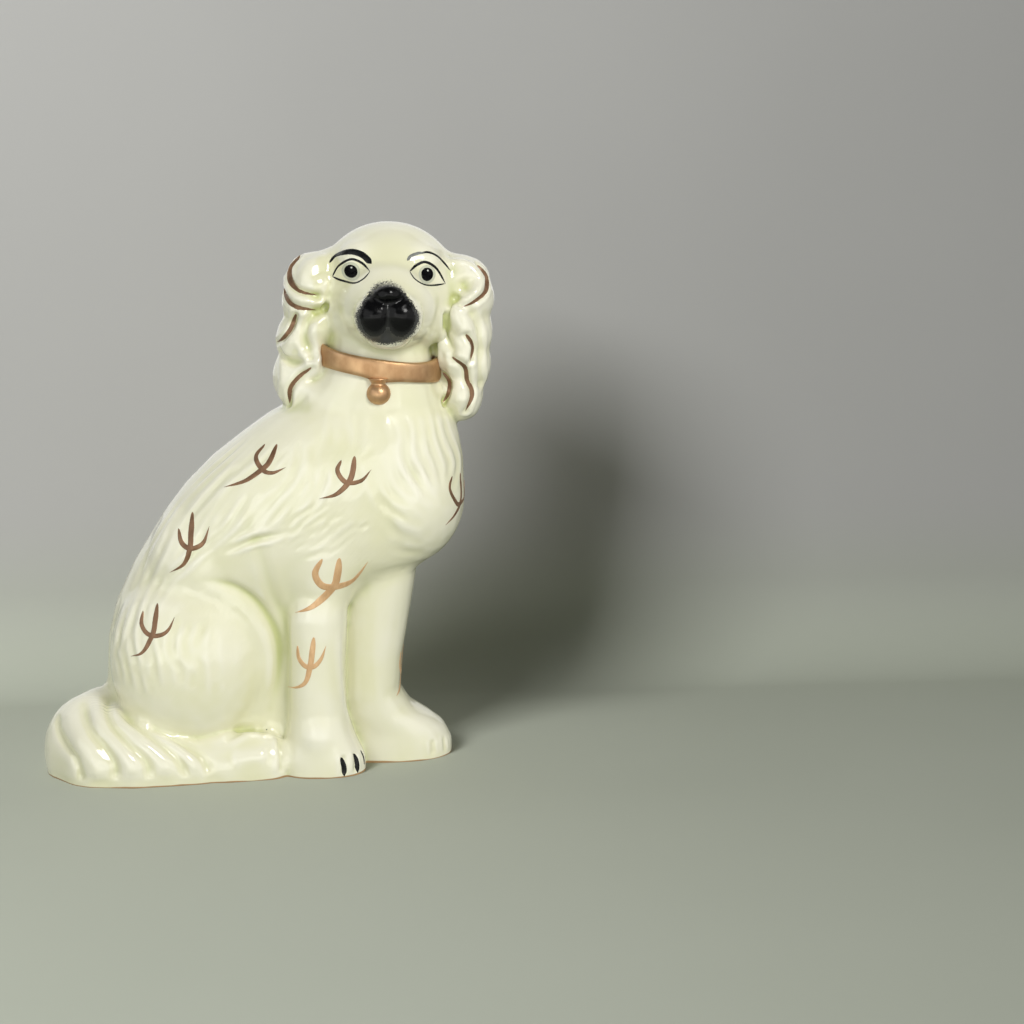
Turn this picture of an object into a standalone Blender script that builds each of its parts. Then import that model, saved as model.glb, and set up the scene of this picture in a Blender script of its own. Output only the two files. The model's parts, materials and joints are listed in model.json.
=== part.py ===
"""A seated mantel spaniel in glazed earthenware, pressed as separate clay pieces and luted together.

The body looks along +X, its right side is towards -Y, and its head is turned to its right, so the face looks
along -Y. The trunk and the head are hollow: each is a front and a back press-moulded shell that meet on the
mould's parting plane. The left foreleg and the tail are pressings open below, the ears, the right foreleg and
the hind feet are solid, and all are cut to sit on the shells. A slab with a vent hole closes the trunk's bottom,
and the collar and its locket are sprigs laid on over the neck joint.
"""

import math

import bmesh
import bpy
import numpy as np
from mathutils import Vector

MM = 0.001

# Overall sizes in mm. The stations further down are drawn in a box of DRAWN size and stretched to these.
LENGTH = 254.0
DEPTH = 107.0
HEIGHT = 305.0
DRAWN = np.array([254.0, 107.0, 305.0])
STRETCH = np.array([LENGTH, DEPTH, HEIGHT]) / DRAWN

# Sizes that keep their own value whatever the size of the dog, in mm.
WALL = 5.0
LUTE_GAP = 0.3  # the clearance that the slip fills at every luted joint
SLAB_THICKNESS = 5.0
VENT_DIAMETER = 12.0
COLLAR_WIDTH = 10.5
COLLAR_THICKNESS = 2.6
LOCKET_WIDTH = 13.4
LOCKET_HEIGHT = 13.4
LOCKET_DEPTH = 10.0
LOCKET_LIFT = 1.0  # how far the middle of the bulb stands off the chest
LOCKET_HANG = 0.6  # between the collar's lower edge and the top of the bulb
LOCKET_STEM = 5.6

# Joint planes, in the drawn box: the mould parts at y = 0, and the neck joint is tipped like the collar.
PARTING_Y = 0.0
NECK_JOINT = (60.0, 0.0, 230.5)
NECK_JOINT_SLOPE = (-0.136, 0.097)  # rise of the joint along +X and along +Y
VENT_AT = (-30.0, 4.0)

# Sculpting finish: the voxel that fuses the masses of a form, and how often the fused skin is relaxed.
TRUNK_VOXEL, TRUNK_RELAX, TRUNK_TRIANGLES = 2.4, 14, 2400
HEAD_VOXEL, HEAD_RELAX, HEAD_TRIANGLES = 1.5, 8, 1700
LIMB_VOXEL, LIMB_RELAX, LIMB_TRIANGLES = 1.8, 6, 560
EAR_VOXEL, EAR_RELAX, EAR_TRIANGLES = 1.6, 5, 800
CORE_VOXEL, CORE_RELAX, CORE_TRIANGLES = 3.2, 8, 700
LOCKET_VOXEL, LOCKET_RELAX, LOCKET_TRIANGLES = 0.7, 3, 500
BELOW_GROUND = -6.0  # forms run on below the ground and are cut flat at z = 0
RING_POINTS = 40
SECTION_POWER = 2.35  # 2 is an ellipse, and more is squarer

# Upright stacks, in the drawn box: height, then the back, front, near and far edge of the section there.
TORSO = (
    (BELOW_GROUND, -92.0, 40.0, -27.0, 33.0),
    (25.0, -93.0, 41.0, -28.0, 34.0),
    (50.0, -93.5, 42.0, -29.0, 35.0),
    (75.0, -92.0, 44.0, -30.0, 36.0),
    (95.0, -86.5, 50.0, -33.0, 38.0),
    (108.0, -80.5, 74.0, -38.0, 41.0),
    (118.0, -75.5, 94.0, -42.0, 43.0),
    (130.0, -68.0, 102.5, -45.0, 45.0),
    (145.0, -58.5, 107.5, -47.0, 46.0),
    (160.0, -47.0, 109.5, -47.5, 46.0),
    (175.0, -32.0, 109.0, -46.0, 44.0),
    (188.0, -15.0, 106.5, -43.0, 41.0),
    (200.0, 2.0, 103.0, -39.0, 38.0),
)
NECK = (
    (200.0, 5.0, 100.0, -38.0, 37.0),
    (212.0, 17.0, 97.0, -36.0, 35.0),
    (224.0, 27.0, 92.5, -33.5, 33.0),
    (236.0, 31.0, 90.0, -32.0, 32.0),
    (250.0, 33.0, 88.0, -30.0, 30.0),
)
RIGHT_FORELEG = (
    (BELOW_GROUND, 2.0, 52.0, -46.5, -6.0),
    (8.0, 3.0, 51.0, -46.5, -6.0),
    (19.0, 6.5, 46.0, -45.5, -7.0),
    (34.0, 8.5, 41.0, -44.5, -8.0),
    (60.0, 8.5, 40.5, -44.0, -8.0),
    (90.0, 8.0, 42.0, -44.0, -7.0),
    (102.0, 9.0, 42.5, -41.5, -6.0),
    (114.0, 12.0, 41.0, -37.0, -6.0),
    (126.0, 16.0, 38.0, -30.0, -6.0),
)
LEFT_FORELEG = (
    (BELOW_GROUND, 30.0, 103.0, -19.0, 36.0),
    (8.0, 30.0, 102.5, -19.0, 36.0),
    (16.0, 31.0, 98.5, -19.0, 35.0),
    (22.0, 32.0, 91.0, -20.0, 34.0),
    (29.0, 32.0, 79.5, -21.5, 34.0),
    (40.0, 32.0, 72.5, -23.0, 34.0),
    (60.0, 33.0, 74.0, -24.0, 34.0),
    (80.0, 34.0, 77.5, -25.0, 35.0),
    (100.0, 36.0, 81.0, -26.5, 36.0),
    (120.0, 38.0, 84.0, -28.0, 36.0),
)

# Round masses, in the drawn box: centre, then half-sizes.
HAUNCHES = (
    ((-47.0, -18.0, 64.0), (43.5, 31.0, 52.0)),
    ((-47.0, 16.0, 64.0), (43.5, 31.0, 52.0)),
)
FLANKS = (
    ((-36.0, -15.0, 118.0), (32.0, 24.5, 36.0)),
    ((-36.0, 13.0, 118.0), (32.0, 24.5, 36.0)),
)
SHOULDERS = (
    ((27.0, -22.0, 128.0), (25.0, 24.5, 46.0)),
    ((38.0, 20.0, 128.0), (26.0, 24.5, 42.0)),
)
CHEST = ((71.0, -2.0, 152.0), (39.0, 43.0, 42.0))
SKULL = ((68.0, 2.0, 267.0), (39.5, 37.0, 38.0))
CHEEKS = (
    ((50.0, -12.0, 254.0), (18.0, 19.0, 17.0)),
    ((83.0, -12.0, 253.0), (18.0, 19.0, 17.0)),
)
BROWS = (
    ((52.0, -17.0, 285.0), (13.0, 11.5, 12.0)),
    ((83.0, -17.0, 284.0), (13.0, 11.5, 12.0)),
)
NOSE = ((65.0, -51.5, 268.5), (8.5, 6.0, 6.0))
FLEWS = (
    ((57.2, -47.0, 256.0), (11.0, 10.8, 13.0)),
    ((73.2, -47.0, 256.0), (11.0, 10.8, 13.0)),
)
CHIN = ((65.3, -40.0, 246.0), (13.0, 11.0, 8.5))
RIGHT_EAR = (
    ((27.0, 0.0, 271.0), (16.0, 21.0, 17.5)),
    ((38.0, 3.0, 270.0), (15.0, 22.0, 21.0)),
    ((21.0, -2.0, 260.0), (12.5, 20.0, 14.0)),
    ((27.0, -4.0, 247.0), (13.0, 19.0, 14.0)),
    ((18.5, -1.0, 240.0), (13.5, 19.0, 16.0)),
    ((25.0, -6.0, 230.0), (11.0, 18.0, 14.0)),
    ((17.0, -1.0, 219.0), (14.5, 19.0, 17.0)),
    ((20.0, -5.0, 211.0), (13.0, 17.0, 14.0)),
)
LEFT_EAR = (
    ((105.0, 1.0, 271.0), (20.0, 20.0, 15.5)),
    ((97.0, 3.0, 268.0), (15.0, 22.0, 21.0)),
    ((112.5, -1.0, 262.0), (14.5, 21.0, 15.0)),
    ((108.0, -4.0, 250.0), (13.0, 20.0, 15.0)),
    ((112.5, -1.0, 243.0), (13.5, 20.0, 17.0)),
    ((105.0, -7.0, 233.0), (11.0, 17.0, 15.0)),
    ((111.5, -2.0, 226.0), (13.5, 19.0, 17.0)),
    ((108.0, -4.0, 208.0), (12.0, 17.0, 15.0)),
    ((98.0, 5.0, 226.0), (12.0, 17.0, 27.0)),
)

# Swept masses, in the drawn box: stops along the path, each a centre and the radius across and up there.
SNOUT = (
    ((67.0, -12.0, 262.0), (31.0, 28.0)),
    ((66.5, -22.0, 260.5), (27.5, 25.0)),
    ((65.8, -32.0, 259.0), (21.5, 21.0)),
    ((65.3, -40.0, 258.0), (16.8, 17.8)),
)
TAIL = (
    ((-80.0, 10.0, 16.0), (18.0, 22.0)),
    ((-95.0, -2.0, 16.0), (22.5, 29.0)),
    ((-103.5, -14.0, 12.0), (25.0, 31.0)),
    ((-94.0, -27.0, 10.0), (24.5, 28.5)),
    ((-76.0, -34.0, 8.0), (20.5, 24.5)),
    ((-58.0, -36.0, 6.0), (16.5, 20.5)),
    ((-42.0, -37.0, 5.0), (13.5, 16.0)),
)
RIGHT_HIND_FOOT = (
    ((-42.0, -33.0, 5.0), (15.0, 18.0)),
    ((-26.0, -34.0, 6.0), (15.0, 19.0)),
    ((-4.0, -33.0, 6.0), (13.0, 18.0)),
)
LEFT_HIND_FOOT = (
    ((-42.0, 31.0, 5.0), (15.0, 18.0)),
    ((-26.0, 32.0, 6.0), (15.0, 19.0)),
    ((-4.0, 31.0, 6.0), (13.0, 18.0)),
)

# The locket hangs at this place across the neck, in the drawn box.
LOCKET_X = 60.0

# Finishes: base colour, roughness, metallic.
CREAM_GLAZE = ((0.86, 0.88, 0.70), 0.12, 0.0)
BARE_BISCUIT = ((0.78, 0.72, 0.60), 0.8, 0.0)
GILT_LUSTRE = ((0.62, 0.37, 0.17), 0.28, 1.0)


def clear_scene():
    for obj in list(bpy.data.objects):
        bpy.data.objects.remove(obj)


def stretched(point):
    """A point of the drawn box at the ordered size, in metres."""
    return np.asarray(point, float) * STRETCH * MM


def mesh_object(name, points, faces):
    mesh = bpy.data.meshes.new(name)
    mesh.from_pydata([tuple(p) for p in points], [], faces)
    skin = bmesh.new()
    skin.from_mesh(mesh)
    bmesh.ops.recalc_face_normals(skin, faces=skin.faces)
    skin.to_mesh(mesh)
    skin.free()
    obj = bpy.data.objects.new(name, mesh)
    bpy.context.scene.collection.objects.link(obj)
    return obj


def lofted(name, rings):
    """Joins rings of equal point count with quads and closes both ends."""
    count, around = len(rings), len(rings[0])
    faces = [tuple(range(around))[::-1], tuple((count - 1) * around + i for i in range(around))]
    for k in range(count - 1):
        for i in range(around):
            j = (i + 1) % around
            faces.append((k * around + i, k * around + j, (k + 1) * around + j, (k + 1) * around + i))
    return mesh_object(name, np.concatenate(rings), faces)


def section(middle, half_x, half_y):
    """A level ring: a squared ellipse round a middle, in metres."""
    turn = np.linspace(0, 2 * math.pi, RING_POINTS, endpoint=False)
    cos, sin = np.cos(turn), np.sin(turn)
    ring = np.empty((RING_POINTS, 3))
    ring[:, 0] = middle[0] + half_x * np.sign(cos) * np.abs(cos) ** (2 / SECTION_POWER)
    ring[:, 1] = middle[1] + half_y * np.sign(sin) * np.abs(sin) ** (2 / SECTION_POWER)
    ring[:, 2] = middle[2]
    return ring


def stack(name, stations, grow=0.0):
    """An upright mass from its level sections, grown by some mm on every side."""
    rings = []
    for z, back, front, near, far in stations:
        low, high = stretched((back, near, z)), stretched((front, far, z))
        half = (high - low) / 2 + grow * MM
        rings.append(section((low + high) / 2, half[0], half[1]))
    rings[-1][:, 2] += grow * MM
    return lofted(name, rings)


def mass(name, centre, half_sizes, grow=0.0):
    """A round mass: a sphere stretched to its half-sizes."""
    bpy.ops.mesh.primitive_uv_sphere_add(segments=40, ring_count=24, radius=1.0)
    obj = bpy.context.object
    obj.name = name
    points = np.array([v.co for v in obj.data.vertices])
    points = points * (stretched(half_sizes) + grow * MM) + stretched(centre)
    obj.data.vertices.foreach_set("co", points.astype(np.float32).ravel())
    return obj


def masses(name, listed, grow=0.0):
    return [mass(f"{name}_{i}", centre, half, grow) for i, (centre, half) in enumerate(listed)]


def sweep(name, stops, grow=0.0):
    """A tube through its stops, round-ended: a row of close-set masses along a smooth path."""
    centres = np.array([c for c, _ in stops])
    radii = np.array([r for _, r in stops])
    made = []
    steps = 6
    for k in range((len(stops) - 1) * steps + 1):
        i, t = min(k // steps, len(stops) - 2), k / steps - min(k // steps, len(stops) - 2)
        centre = centres[i] * (1 - t) + centres[i + 1] * t
        across, up = radii[i] * (1 - t) + radii[i + 1] * t
        made.append(mass(f"{name}_{k}", centre, (across, across, up), grow))
    return made


def evaluated_copy(obj, name):
    """A new object holding what obj's modifiers make of it. The old one is removed."""
    graph = bpy.context.evaluated_depsgraph_get()
    mesh = bpy.data.meshes.new_from_object(obj.evaluated_get(graph))
    bpy.data.objects.remove(obj)
    made = bpy.data.objects.new(name, mesh)
    bpy.context.scene.collection.objects.link(made)
    return made


def fused(name, parts, voxel, relax, triangles):
    """One closed skin round overlapping masses: joined, remeshed, relaxed, then thinned to some triangles."""
    for obj in bpy.context.selected_objects:
        obj.select_set(False)
    for obj in parts:
        obj.select_set(True)
    bpy.context.view_layer.objects.active = parts[0]
    bpy.ops.object.join()
    obj = bpy.context.object
    remesh = obj.modifiers.new("one_skin", "REMESH")
    remesh.mode = "VOXEL"
    remesh.voxel_size = voxel * MM
    soften = obj.modifiers.new("soften", "SMOOTH")
    soften.factor = 0.5
    soften.iterations = relax
    obj = evaluated_copy(obj, name)
    thin = obj.modifiers.new("thin", "DECIMATE")
    thin.ratio = min(1.0, triangles / (2 * len(obj.data.polygons)))
    thin.use_collapse_triangulate = True
    return evaluated_copy(obj, name)


def cut_below_ground(obj):
    """Cuts a solid flat at z = 0."""
    skin = bmesh.new()
    skin.from_mesh(obj.data)
    everything = skin.verts[:] + skin.edges[:] + skin.faces[:]
    cut = bmesh.ops.bisect_plane(
        skin, geom=everything, plane_co=(0, 0, 0), plane_no=(0, 0, -1), clear_outer=True, dist=1e-7
    )
    edges = [e for e in cut["geom_cut"] if isinstance(e, bmesh.types.BMEdge)]
    bmesh.ops.edgenet_fill(skin, edges=edges)
    bmesh.ops.triangulate(skin, faces=skin.faces)
    bmesh.ops.recalc_face_normals(skin, faces=skin.faces)
    skin.to_mesh(obj.data)
    skin.free()
    return obj


def swollen(obj, name, distance):
    """A copy whose points are moved outwards by some mm, to cut a neighbour clear of it."""
    mesh = obj.data.copy()
    skin = bmesh.new()
    skin.from_mesh(mesh)
    skin.normal_update()
    for vert in skin.verts:
        vert.co += vert.normal * distance * MM
    skin.to_mesh(mesh)
    skin.free()
    made = bpy.data.objects.new(name, mesh)
    bpy.context.scene.collection.objects.link(made)
    return made


def carved(obj, tool, operation):
    """What is left of obj after an exact Boolean with a tool, which is kept as it was."""
    name = obj.name
    cut = obj.modifiers.new("cut", "BOOLEAN")
    cut.operation = operation
    cut.object = tool
    cut.solver = "EXACT"
    return evaluated_copy(obj, name)


def less(obj, *tools):
    for tool in tools:
        obj = carved(obj, tool, "DIFFERENCE")
    return obj


def copy_of(obj, name):
    made = bpy.data.objects.new(name, obj.data.copy())
    bpy.context.scene.collection.objects.link(made)
    return made


def box(name, low, high):
    """A block between two corners, in metres."""
    bpy.ops.mesh.primitive_cube_add(size=1.0)
    obj = bpy.context.object
    obj.name = name
    low, high = Vector(low), Vector(high)
    for vert in obj.data.vertices:
        vert.co = Vector(a + (b - a) * (c + 0.5) for a, b, c in zip(low, high, vert.co))
    return obj


def neck_joint_height(x, y):
    """The height of the neck joint's plane at a place, in metres."""
    centre = stretched(NECK_JOINT)
    slope_x = NECK_JOINT_SLOPE[0] * STRETCH[2] / STRETCH[0]
    slope_y = NECK_JOINT_SLOPE[1] * STRETCH[2] / STRETCH[1]
    return centre[2] + slope_x * (x - centre[0]) + slope_y * (y - centre[1])


def tilted_slab(name, below, above):
    """The space between two planes parallel to the neck joint, this many mm below and above it."""
    obj = box(name, (-0.5, -0.5, below * MM), (0.5, 0.5, above * MM))
    for vert in obj.data.vertices:
        vert.co.z += neck_joint_height(vert.co.x, vert.co.y)
    return obj


def trunk_form(name, grow, voxel, relax, triangles):
    parts = [stack("torso", TORSO, grow), stack("neck", NECK, grow)]
    parts += masses("haunch", HAUNCHES, grow) + masses("flank", FLANKS, grow)
    parts += masses("shoulder", SHOULDERS, grow) + masses("chest", (CHEST,), grow)
    return fused(name, parts, voxel, relax, triangles)


def head_form(name):
    parts = masses("skull", (SKULL,)) + masses("cheek", CHEEKS) + masses("brow", BROWS)
    parts += sweep("snout", SNOUT) + masses("nose", (NOSE,)) + masses("flew", FLEWS)
    parts += masses("chin", (CHIN,)) + [stack("neck", NECK)]
    return fused(name, parts, HEAD_VOXEL, HEAD_RELAX, HEAD_TRIANGLES)


def head_core(name):
    parts = masses("skull", (SKULL,), -WALL) + sweep("snout", SNOUT[:3], -WALL)
    parts += [stack("neck", NECK, -WALL)]
    return fused(name, parts, CORE_VOXEL, CORE_RELAX, CORE_TRIANGLES)


def halved(shell, front_name, back_name):
    """A shell parted into its front and back pressings, with the lute gap between them."""
    reach, half_gap = 1.0, LUTE_GAP / 2 * MM
    parting = PARTING_Y * STRETCH[1] * MM
    behind = box("behind", (-reach, parting - half_gap, -reach), (reach, reach, reach))
    before = box("before", (-reach, -reach, -reach), (reach, parting + half_gap, reach))
    front = less(copy_of(shell, front_name), behind)
    back = less(shell, before)
    back.name = back_name
    bpy.data.objects.remove(behind)
    bpy.data.objects.remove(before)
    return front, back


def build_trunk(trunk, core):
    """The trunk shells: hollow, open at the neck joint and at the ground."""
    shell = less(copy_of(trunk, "trunk"), core)
    above = tilted_slab("above", -LUTE_GAP / 2, HEIGHT)
    shell = less(shell, above)
    bpy.data.objects.remove(above)
    return halved(shell, "trunk_front_shell", "trunk_back_shell")


def build_head(head, core):
    """The head shells: hollow, open at the neck joint."""
    shell = less(copy_of(head, "head"), core)
    below = tilted_slab("below", -HEIGHT, LUTE_GAP / 2)
    shell = less(shell, below)
    bpy.data.objects.remove(below)
    return halved(shell, "head_front_shell", "head_back_shell")


def build_slab(core):
    """The slab that closes the bottom: the core's own outline less the gap, with the vent hole."""
    inside = swollen(core, "base_slab", -LUTE_GAP)
    slab = carved(inside, box("layer", (-1, -1, 0), (1, 1, SLAB_THICKNESS * MM)), "INTERSECT")
    bpy.data.objects.remove(bpy.data.objects["layer"])
    bpy.ops.mesh.primitive_cylinder_add(
        vertices=48, radius=VENT_DIAMETER / 2 * MM, depth=4 * SLAB_THICKNESS * MM
    )
    drill = bpy.context.object
    drill.location = (*stretched((*VENT_AT, 0.0))[:2], 0.0)
    slab = less(slab, drill)
    bpy.data.objects.remove(drill)
    return slab


def build_collar(trunk, trunk_tool, head_tool):
    """The band: the neck's own surface raised by the band's thickness, between two planes."""
    band = swollen(trunk, "collar", COLLAR_THICKNESS)
    layer = tilted_slab("layer", -COLLAR_WIDTH / 2, COLLAR_WIDTH / 2)
    band = carved(band, layer, "INTERSECT")
    bpy.data.objects.remove(layer)
    return less(band, trunk_tool, head_tool)


def surface_y(obj, x, z):
    """The front of a form at a place seen from -Y, in metres."""
    hit, place, _, _ = obj.ray_cast(Vector((x, -1.0, z)), Vector((0.0, 1.0, 0.0)))
    if not hit:
        raise ValueError("the locket hangs clear of the trunk")
    return place.y


def build_locket(trunk, trunk_tool, collar_tool):
    """The locket: a flattened bulb on a stem, lying on the chest, hung from the collar's lower edge."""
    x, joint_z = stretched((LOCKET_X, 0, NECK_JOINT[2]))[[0, 2]]
    collar_edge = neck_joint_height(x, surface_y(trunk, x, joint_z)) - COLLAR_WIDTH / 2 * MM
    reach = (LOCKET_HANG + LOCKET_HEIGHT / 2) * MM
    middle_z = collar_edge - reach
    bulb = np.array([LOCKET_WIDTH, LOCKET_DEPTH, LOCKET_HEIGHT]) / 2
    stem = np.array([LOCKET_STEM, LOCKET_DEPTH * 0.8, LOCKET_STEM]) / 2
    parts = []
    for share, half in ((0.0, bulb), (0.5, stem), (0.7, stem), (0.85, stem)):
        z = middle_z + share * reach
        centre = np.array([x, surface_y(trunk, x, z) - LOCKET_LIFT * MM, z])
        parts.append(mass("locket_mass", centre / MM / STRETCH, half / STRETCH))
    form = fused("locket", parts, LOCKET_VOXEL, LOCKET_RELAX, LOCKET_TRIANGLES)
    return less(form, trunk_tool, collar_tool)


def build_limb(name, parts, tools, triangles=LIMB_TRIANGLES):
    """A pressing that stands on the ground, cut to sit on its neighbours."""
    form = fused(name, parts, LIMB_VOXEL, LIMB_RELAX, triangles)
    return less(cut_below_ground(form), *tools)


def hollowed(limb, core_parts, neighbours):
    """Opens a limb from below, leaving the clay wall round the hollow and towards every neighbour."""
    core = fused("limb_core", core_parts, CORE_VOXEL, LIMB_RELAX, CORE_TRIANGLES)
    guards = [swollen(obj, "guard", WALL) for obj in neighbours]
    core = less(core, *guards)
    limb = less(limb, core)
    for obj in [core, *guards]:
        bpy.data.objects.remove(obj)
    return limb


def build_ear(name, listed, tools):
    form = fused(name, masses("lobe", listed), EAR_VOXEL, EAR_RELAX, EAR_TRIANGLES)
    return less(form, *tools)


def finish_with(obj, finish):
    """Smooth shading, and a material of the piece's own."""
    colour, roughness, metallic = finish
    material = bpy.data.materials.new(f"{obj.name}_finish")
    material.use_nodes = True
    shader = material.node_tree.nodes["Principled BSDF"]
    shader.inputs["Base Color"].default_value = (*colour, 1.0)
    shader.inputs["Roughness"].default_value = roughness
    shader.inputs["Metallic"].default_value = metallic
    obj.data.materials.clear()
    obj.data.materials.append(material)
    obj.data.shade_smooth()
    obj.data.set_sharp_from_angle(angle=math.radians(40))


def settle(objects):
    """Parents the pieces to an empty that puts the footprint's middle at the origin and the base at z = 0."""
    points = np.concatenate([np.array([v.co for v in obj.data.vertices]) for obj in objects])
    low, high = points.min(0), points.max(0)
    figure = bpy.data.objects.new("figure", None)
    bpy.context.scene.collection.objects.link(figure)
    figure.location = (-(low[0] + high[0]) / 2, -(low[1] + high[1]) / 2, -low[2])
    for obj in objects:
        obj.parent = figure


def build():
    clear_scene()
    trunk = cut_below_ground(trunk_form("trunk_form", 0.0, TRUNK_VOXEL, TRUNK_RELAX, TRUNK_TRIANGLES))
    trunk_core = trunk_form("trunk_core", -WALL, CORE_VOXEL, CORE_RELAX, CORE_TRIANGLES)
    head = head_form("head_form")
    core_of_head = head_core("head_core")
    trunk_tool = swollen(trunk, "trunk_tool", LUTE_GAP)
    head_tool = swollen(head, "head_tool", LUTE_GAP)

    shells = [*build_trunk(trunk, trunk_core), *build_head(head, core_of_head)]
    slab = build_slab(trunk_core)
    collar = build_collar(trunk, trunk_tool, head_tool)
    collar_tool = swollen(collar, "collar_tool", LUTE_GAP)
    ears = [
        build_ear("right_ear", RIGHT_EAR, (trunk_tool, head_tool, collar_tool)),
        build_ear("left_ear", LEFT_EAR, (trunk_tool, head_tool, collar_tool)),
    ]
    locket = build_locket(trunk, trunk_tool, collar_tool)
    right_foreleg = build_limb("right_foreleg", [stack("leg", RIGHT_FORELEG)], [trunk_tool])
    right_leg_tool = swollen(right_foreleg, "right_leg_tool", LUTE_GAP)
    left_foreleg = build_limb("left_foreleg", [stack("leg", LEFT_FORELEG)], [trunk_tool, right_leg_tool])
    left_leg_tool = swollen(left_foreleg, "left_leg_tool", LUTE_GAP)
    leg_core = [stack("leg_core", LEFT_FORELEG, -WALL)]
    left_foreleg = hollowed(left_foreleg, leg_core, [trunk, right_foreleg])
    neighbours = [trunk_tool, right_leg_tool, left_leg_tool]
    right_hind_foot = build_limb("right_hind_foot", sweep("foot", RIGHT_HIND_FOOT), neighbours)
    left_hind_foot = build_limb("left_hind_foot", sweep("foot", LEFT_HIND_FOOT), neighbours)
    foot_tool = swollen(right_hind_foot, "foot_tool", LUTE_GAP)
    tail = build_limb("tail", sweep("tail", TAIL), [trunk_tool, foot_tool])
    tail = hollowed(tail, sweep("tail_core", TAIL, -WALL), [trunk, right_hind_foot])

    tools = [trunk, trunk_core, head, core_of_head, trunk_tool, head_tool, collar_tool]
    for obj in [*tools, right_leg_tool, left_leg_tool, foot_tool]:
        bpy.data.objects.remove(obj)

    clay = [*shells, *ears, right_foreleg, left_foreleg, right_hind_foot, left_hind_foot, tail]
    for obj in clay:
        finish_with(obj, CREAM_GLAZE)
    finish_with(slab, BARE_BISCUIT)
    finish_with(collar, GILT_LUSTRE)
    finish_with(locket, GILT_LUSTRE)
    settle([*clay, slab, collar, locket])


build()
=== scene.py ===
# %% [markdown]
# # A glazed earthenware mantel spaniel
#
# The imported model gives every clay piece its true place: a trunk and a head of two pressed shells each, ears,
# legs, hind feet and a tail, a collar with a locket, and a slab under it all. This lesson gives the clay the
# soft, glossy skin that slip and glaze leave on such a figure, and then paints and gilds it.

import json
import math

import bmesh
import bpy
import numpy as np
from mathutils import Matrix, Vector
from mathutils.bvhtree import BVHTree

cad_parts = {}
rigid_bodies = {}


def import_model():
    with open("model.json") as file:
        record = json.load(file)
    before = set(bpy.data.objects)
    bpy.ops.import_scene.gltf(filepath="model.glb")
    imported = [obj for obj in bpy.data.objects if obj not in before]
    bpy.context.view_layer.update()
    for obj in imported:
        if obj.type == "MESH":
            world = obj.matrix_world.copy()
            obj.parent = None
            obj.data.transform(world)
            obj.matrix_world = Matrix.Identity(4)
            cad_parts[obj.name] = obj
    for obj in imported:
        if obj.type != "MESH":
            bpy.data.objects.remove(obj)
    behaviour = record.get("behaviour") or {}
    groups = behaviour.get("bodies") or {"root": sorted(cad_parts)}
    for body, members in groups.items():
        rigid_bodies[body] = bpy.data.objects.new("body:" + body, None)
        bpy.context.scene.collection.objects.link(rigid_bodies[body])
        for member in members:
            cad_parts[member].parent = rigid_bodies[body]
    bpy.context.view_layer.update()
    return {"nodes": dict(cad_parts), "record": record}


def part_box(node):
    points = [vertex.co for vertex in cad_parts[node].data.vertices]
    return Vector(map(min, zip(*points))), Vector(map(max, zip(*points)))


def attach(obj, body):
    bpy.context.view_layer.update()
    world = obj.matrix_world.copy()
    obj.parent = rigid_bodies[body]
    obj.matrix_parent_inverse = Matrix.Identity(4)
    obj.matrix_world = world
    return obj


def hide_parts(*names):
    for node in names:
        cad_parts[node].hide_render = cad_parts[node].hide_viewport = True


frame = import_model()

MM = 0.001
GLAZED = [slot["node"] for slot in frame["record"]["subparts"] if slot["material_slot"] == "cream_glaze"]


def corners(node):
    """The lowest and highest corner of a node's box, in mm."""
    low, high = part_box(node)
    return np.array(low) / MM, np.array(high) / MM


# %% [markdown]
# ## The camera
#
# The figure is seen from its right side, from a little above, with a fairly long lens, so it stands left of
# the middle of the frame with room for its missing twin. It is set first, because every mark on the clay is
# judged from here.

# %% Camera
def add_camera(distance=1.300, elevation=10.0, turn=6.105, dip=10.337, lens=81.3, aim_height=0.150):
    """A camera at a distance from a point over the origin, turned and dipped by degrees."""
    data = bpy.data.cameras.new("camera")
    data.lens, data.sensor_width = lens, 36.0
    camera = bpy.data.objects.new("camera", data)
    bpy.context.scene.collection.objects.link(camera)
    rise = math.radians(elevation)
    camera.location = (0.0, -distance * math.cos(rise), aim_height + distance * math.sin(rise))
    camera.rotation_euler = (math.radians(90.0 - dip), 0.0, math.radians(-turn))
    bpy.context.scene.camera = camera
    return camera


camera = add_camera()
print("camera at", np.round(camera.location, 3))

# %% [markdown]
# ## One skin over the luted pieces
#
# When the pressed pieces are luted together, slip is brushed over the joints, and then glaze flows over
# everything, so no joint shows. The skin is made the same way: the clay pieces are copied, fused into one
# surface of small even cells that bridges the hairline joints, and relaxed until the facets are gone. A shape
# like this has no formula, so it starts from the solids and is then worked with numpy, all points at once.

# %% Read the solids
def triangles_of(obj):
    """The points (n, 3) in mm and the triangles (m, 3) of a mesh object."""
    mesh = obj.data
    mesh.calc_loop_triangles()
    points = np.empty(len(mesh.vertices) * 3, np.float32)
    mesh.vertices.foreach_get("co", points)
    corners_of = np.empty(len(mesh.loop_triangles) * 3, np.int32)
    mesh.loop_triangles.foreach_get("vertices", corners_of)
    return points.reshape(-1, 3).astype(float) / MM, corners_of.reshape(-1, 3)


def face_centres_normals(points, tris):
    a, b, c = points[tris[:, 0]], points[tris[:, 1]], points[tris[:, 2]]
    normal = np.cross(b - a, c - a)
    length = np.linalg.norm(normal, axis=1, keepdims=True)
    return (a + b + c) / 3, normal / np.maximum(length, 1e-12)


solids = {name: triangles_of(frame["nodes"][name]) for name in GLAZED + ["base_slab"]}
print("triangles in the solids:", {name: len(tris) for name, (_, tris) in solids.items()})


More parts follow.
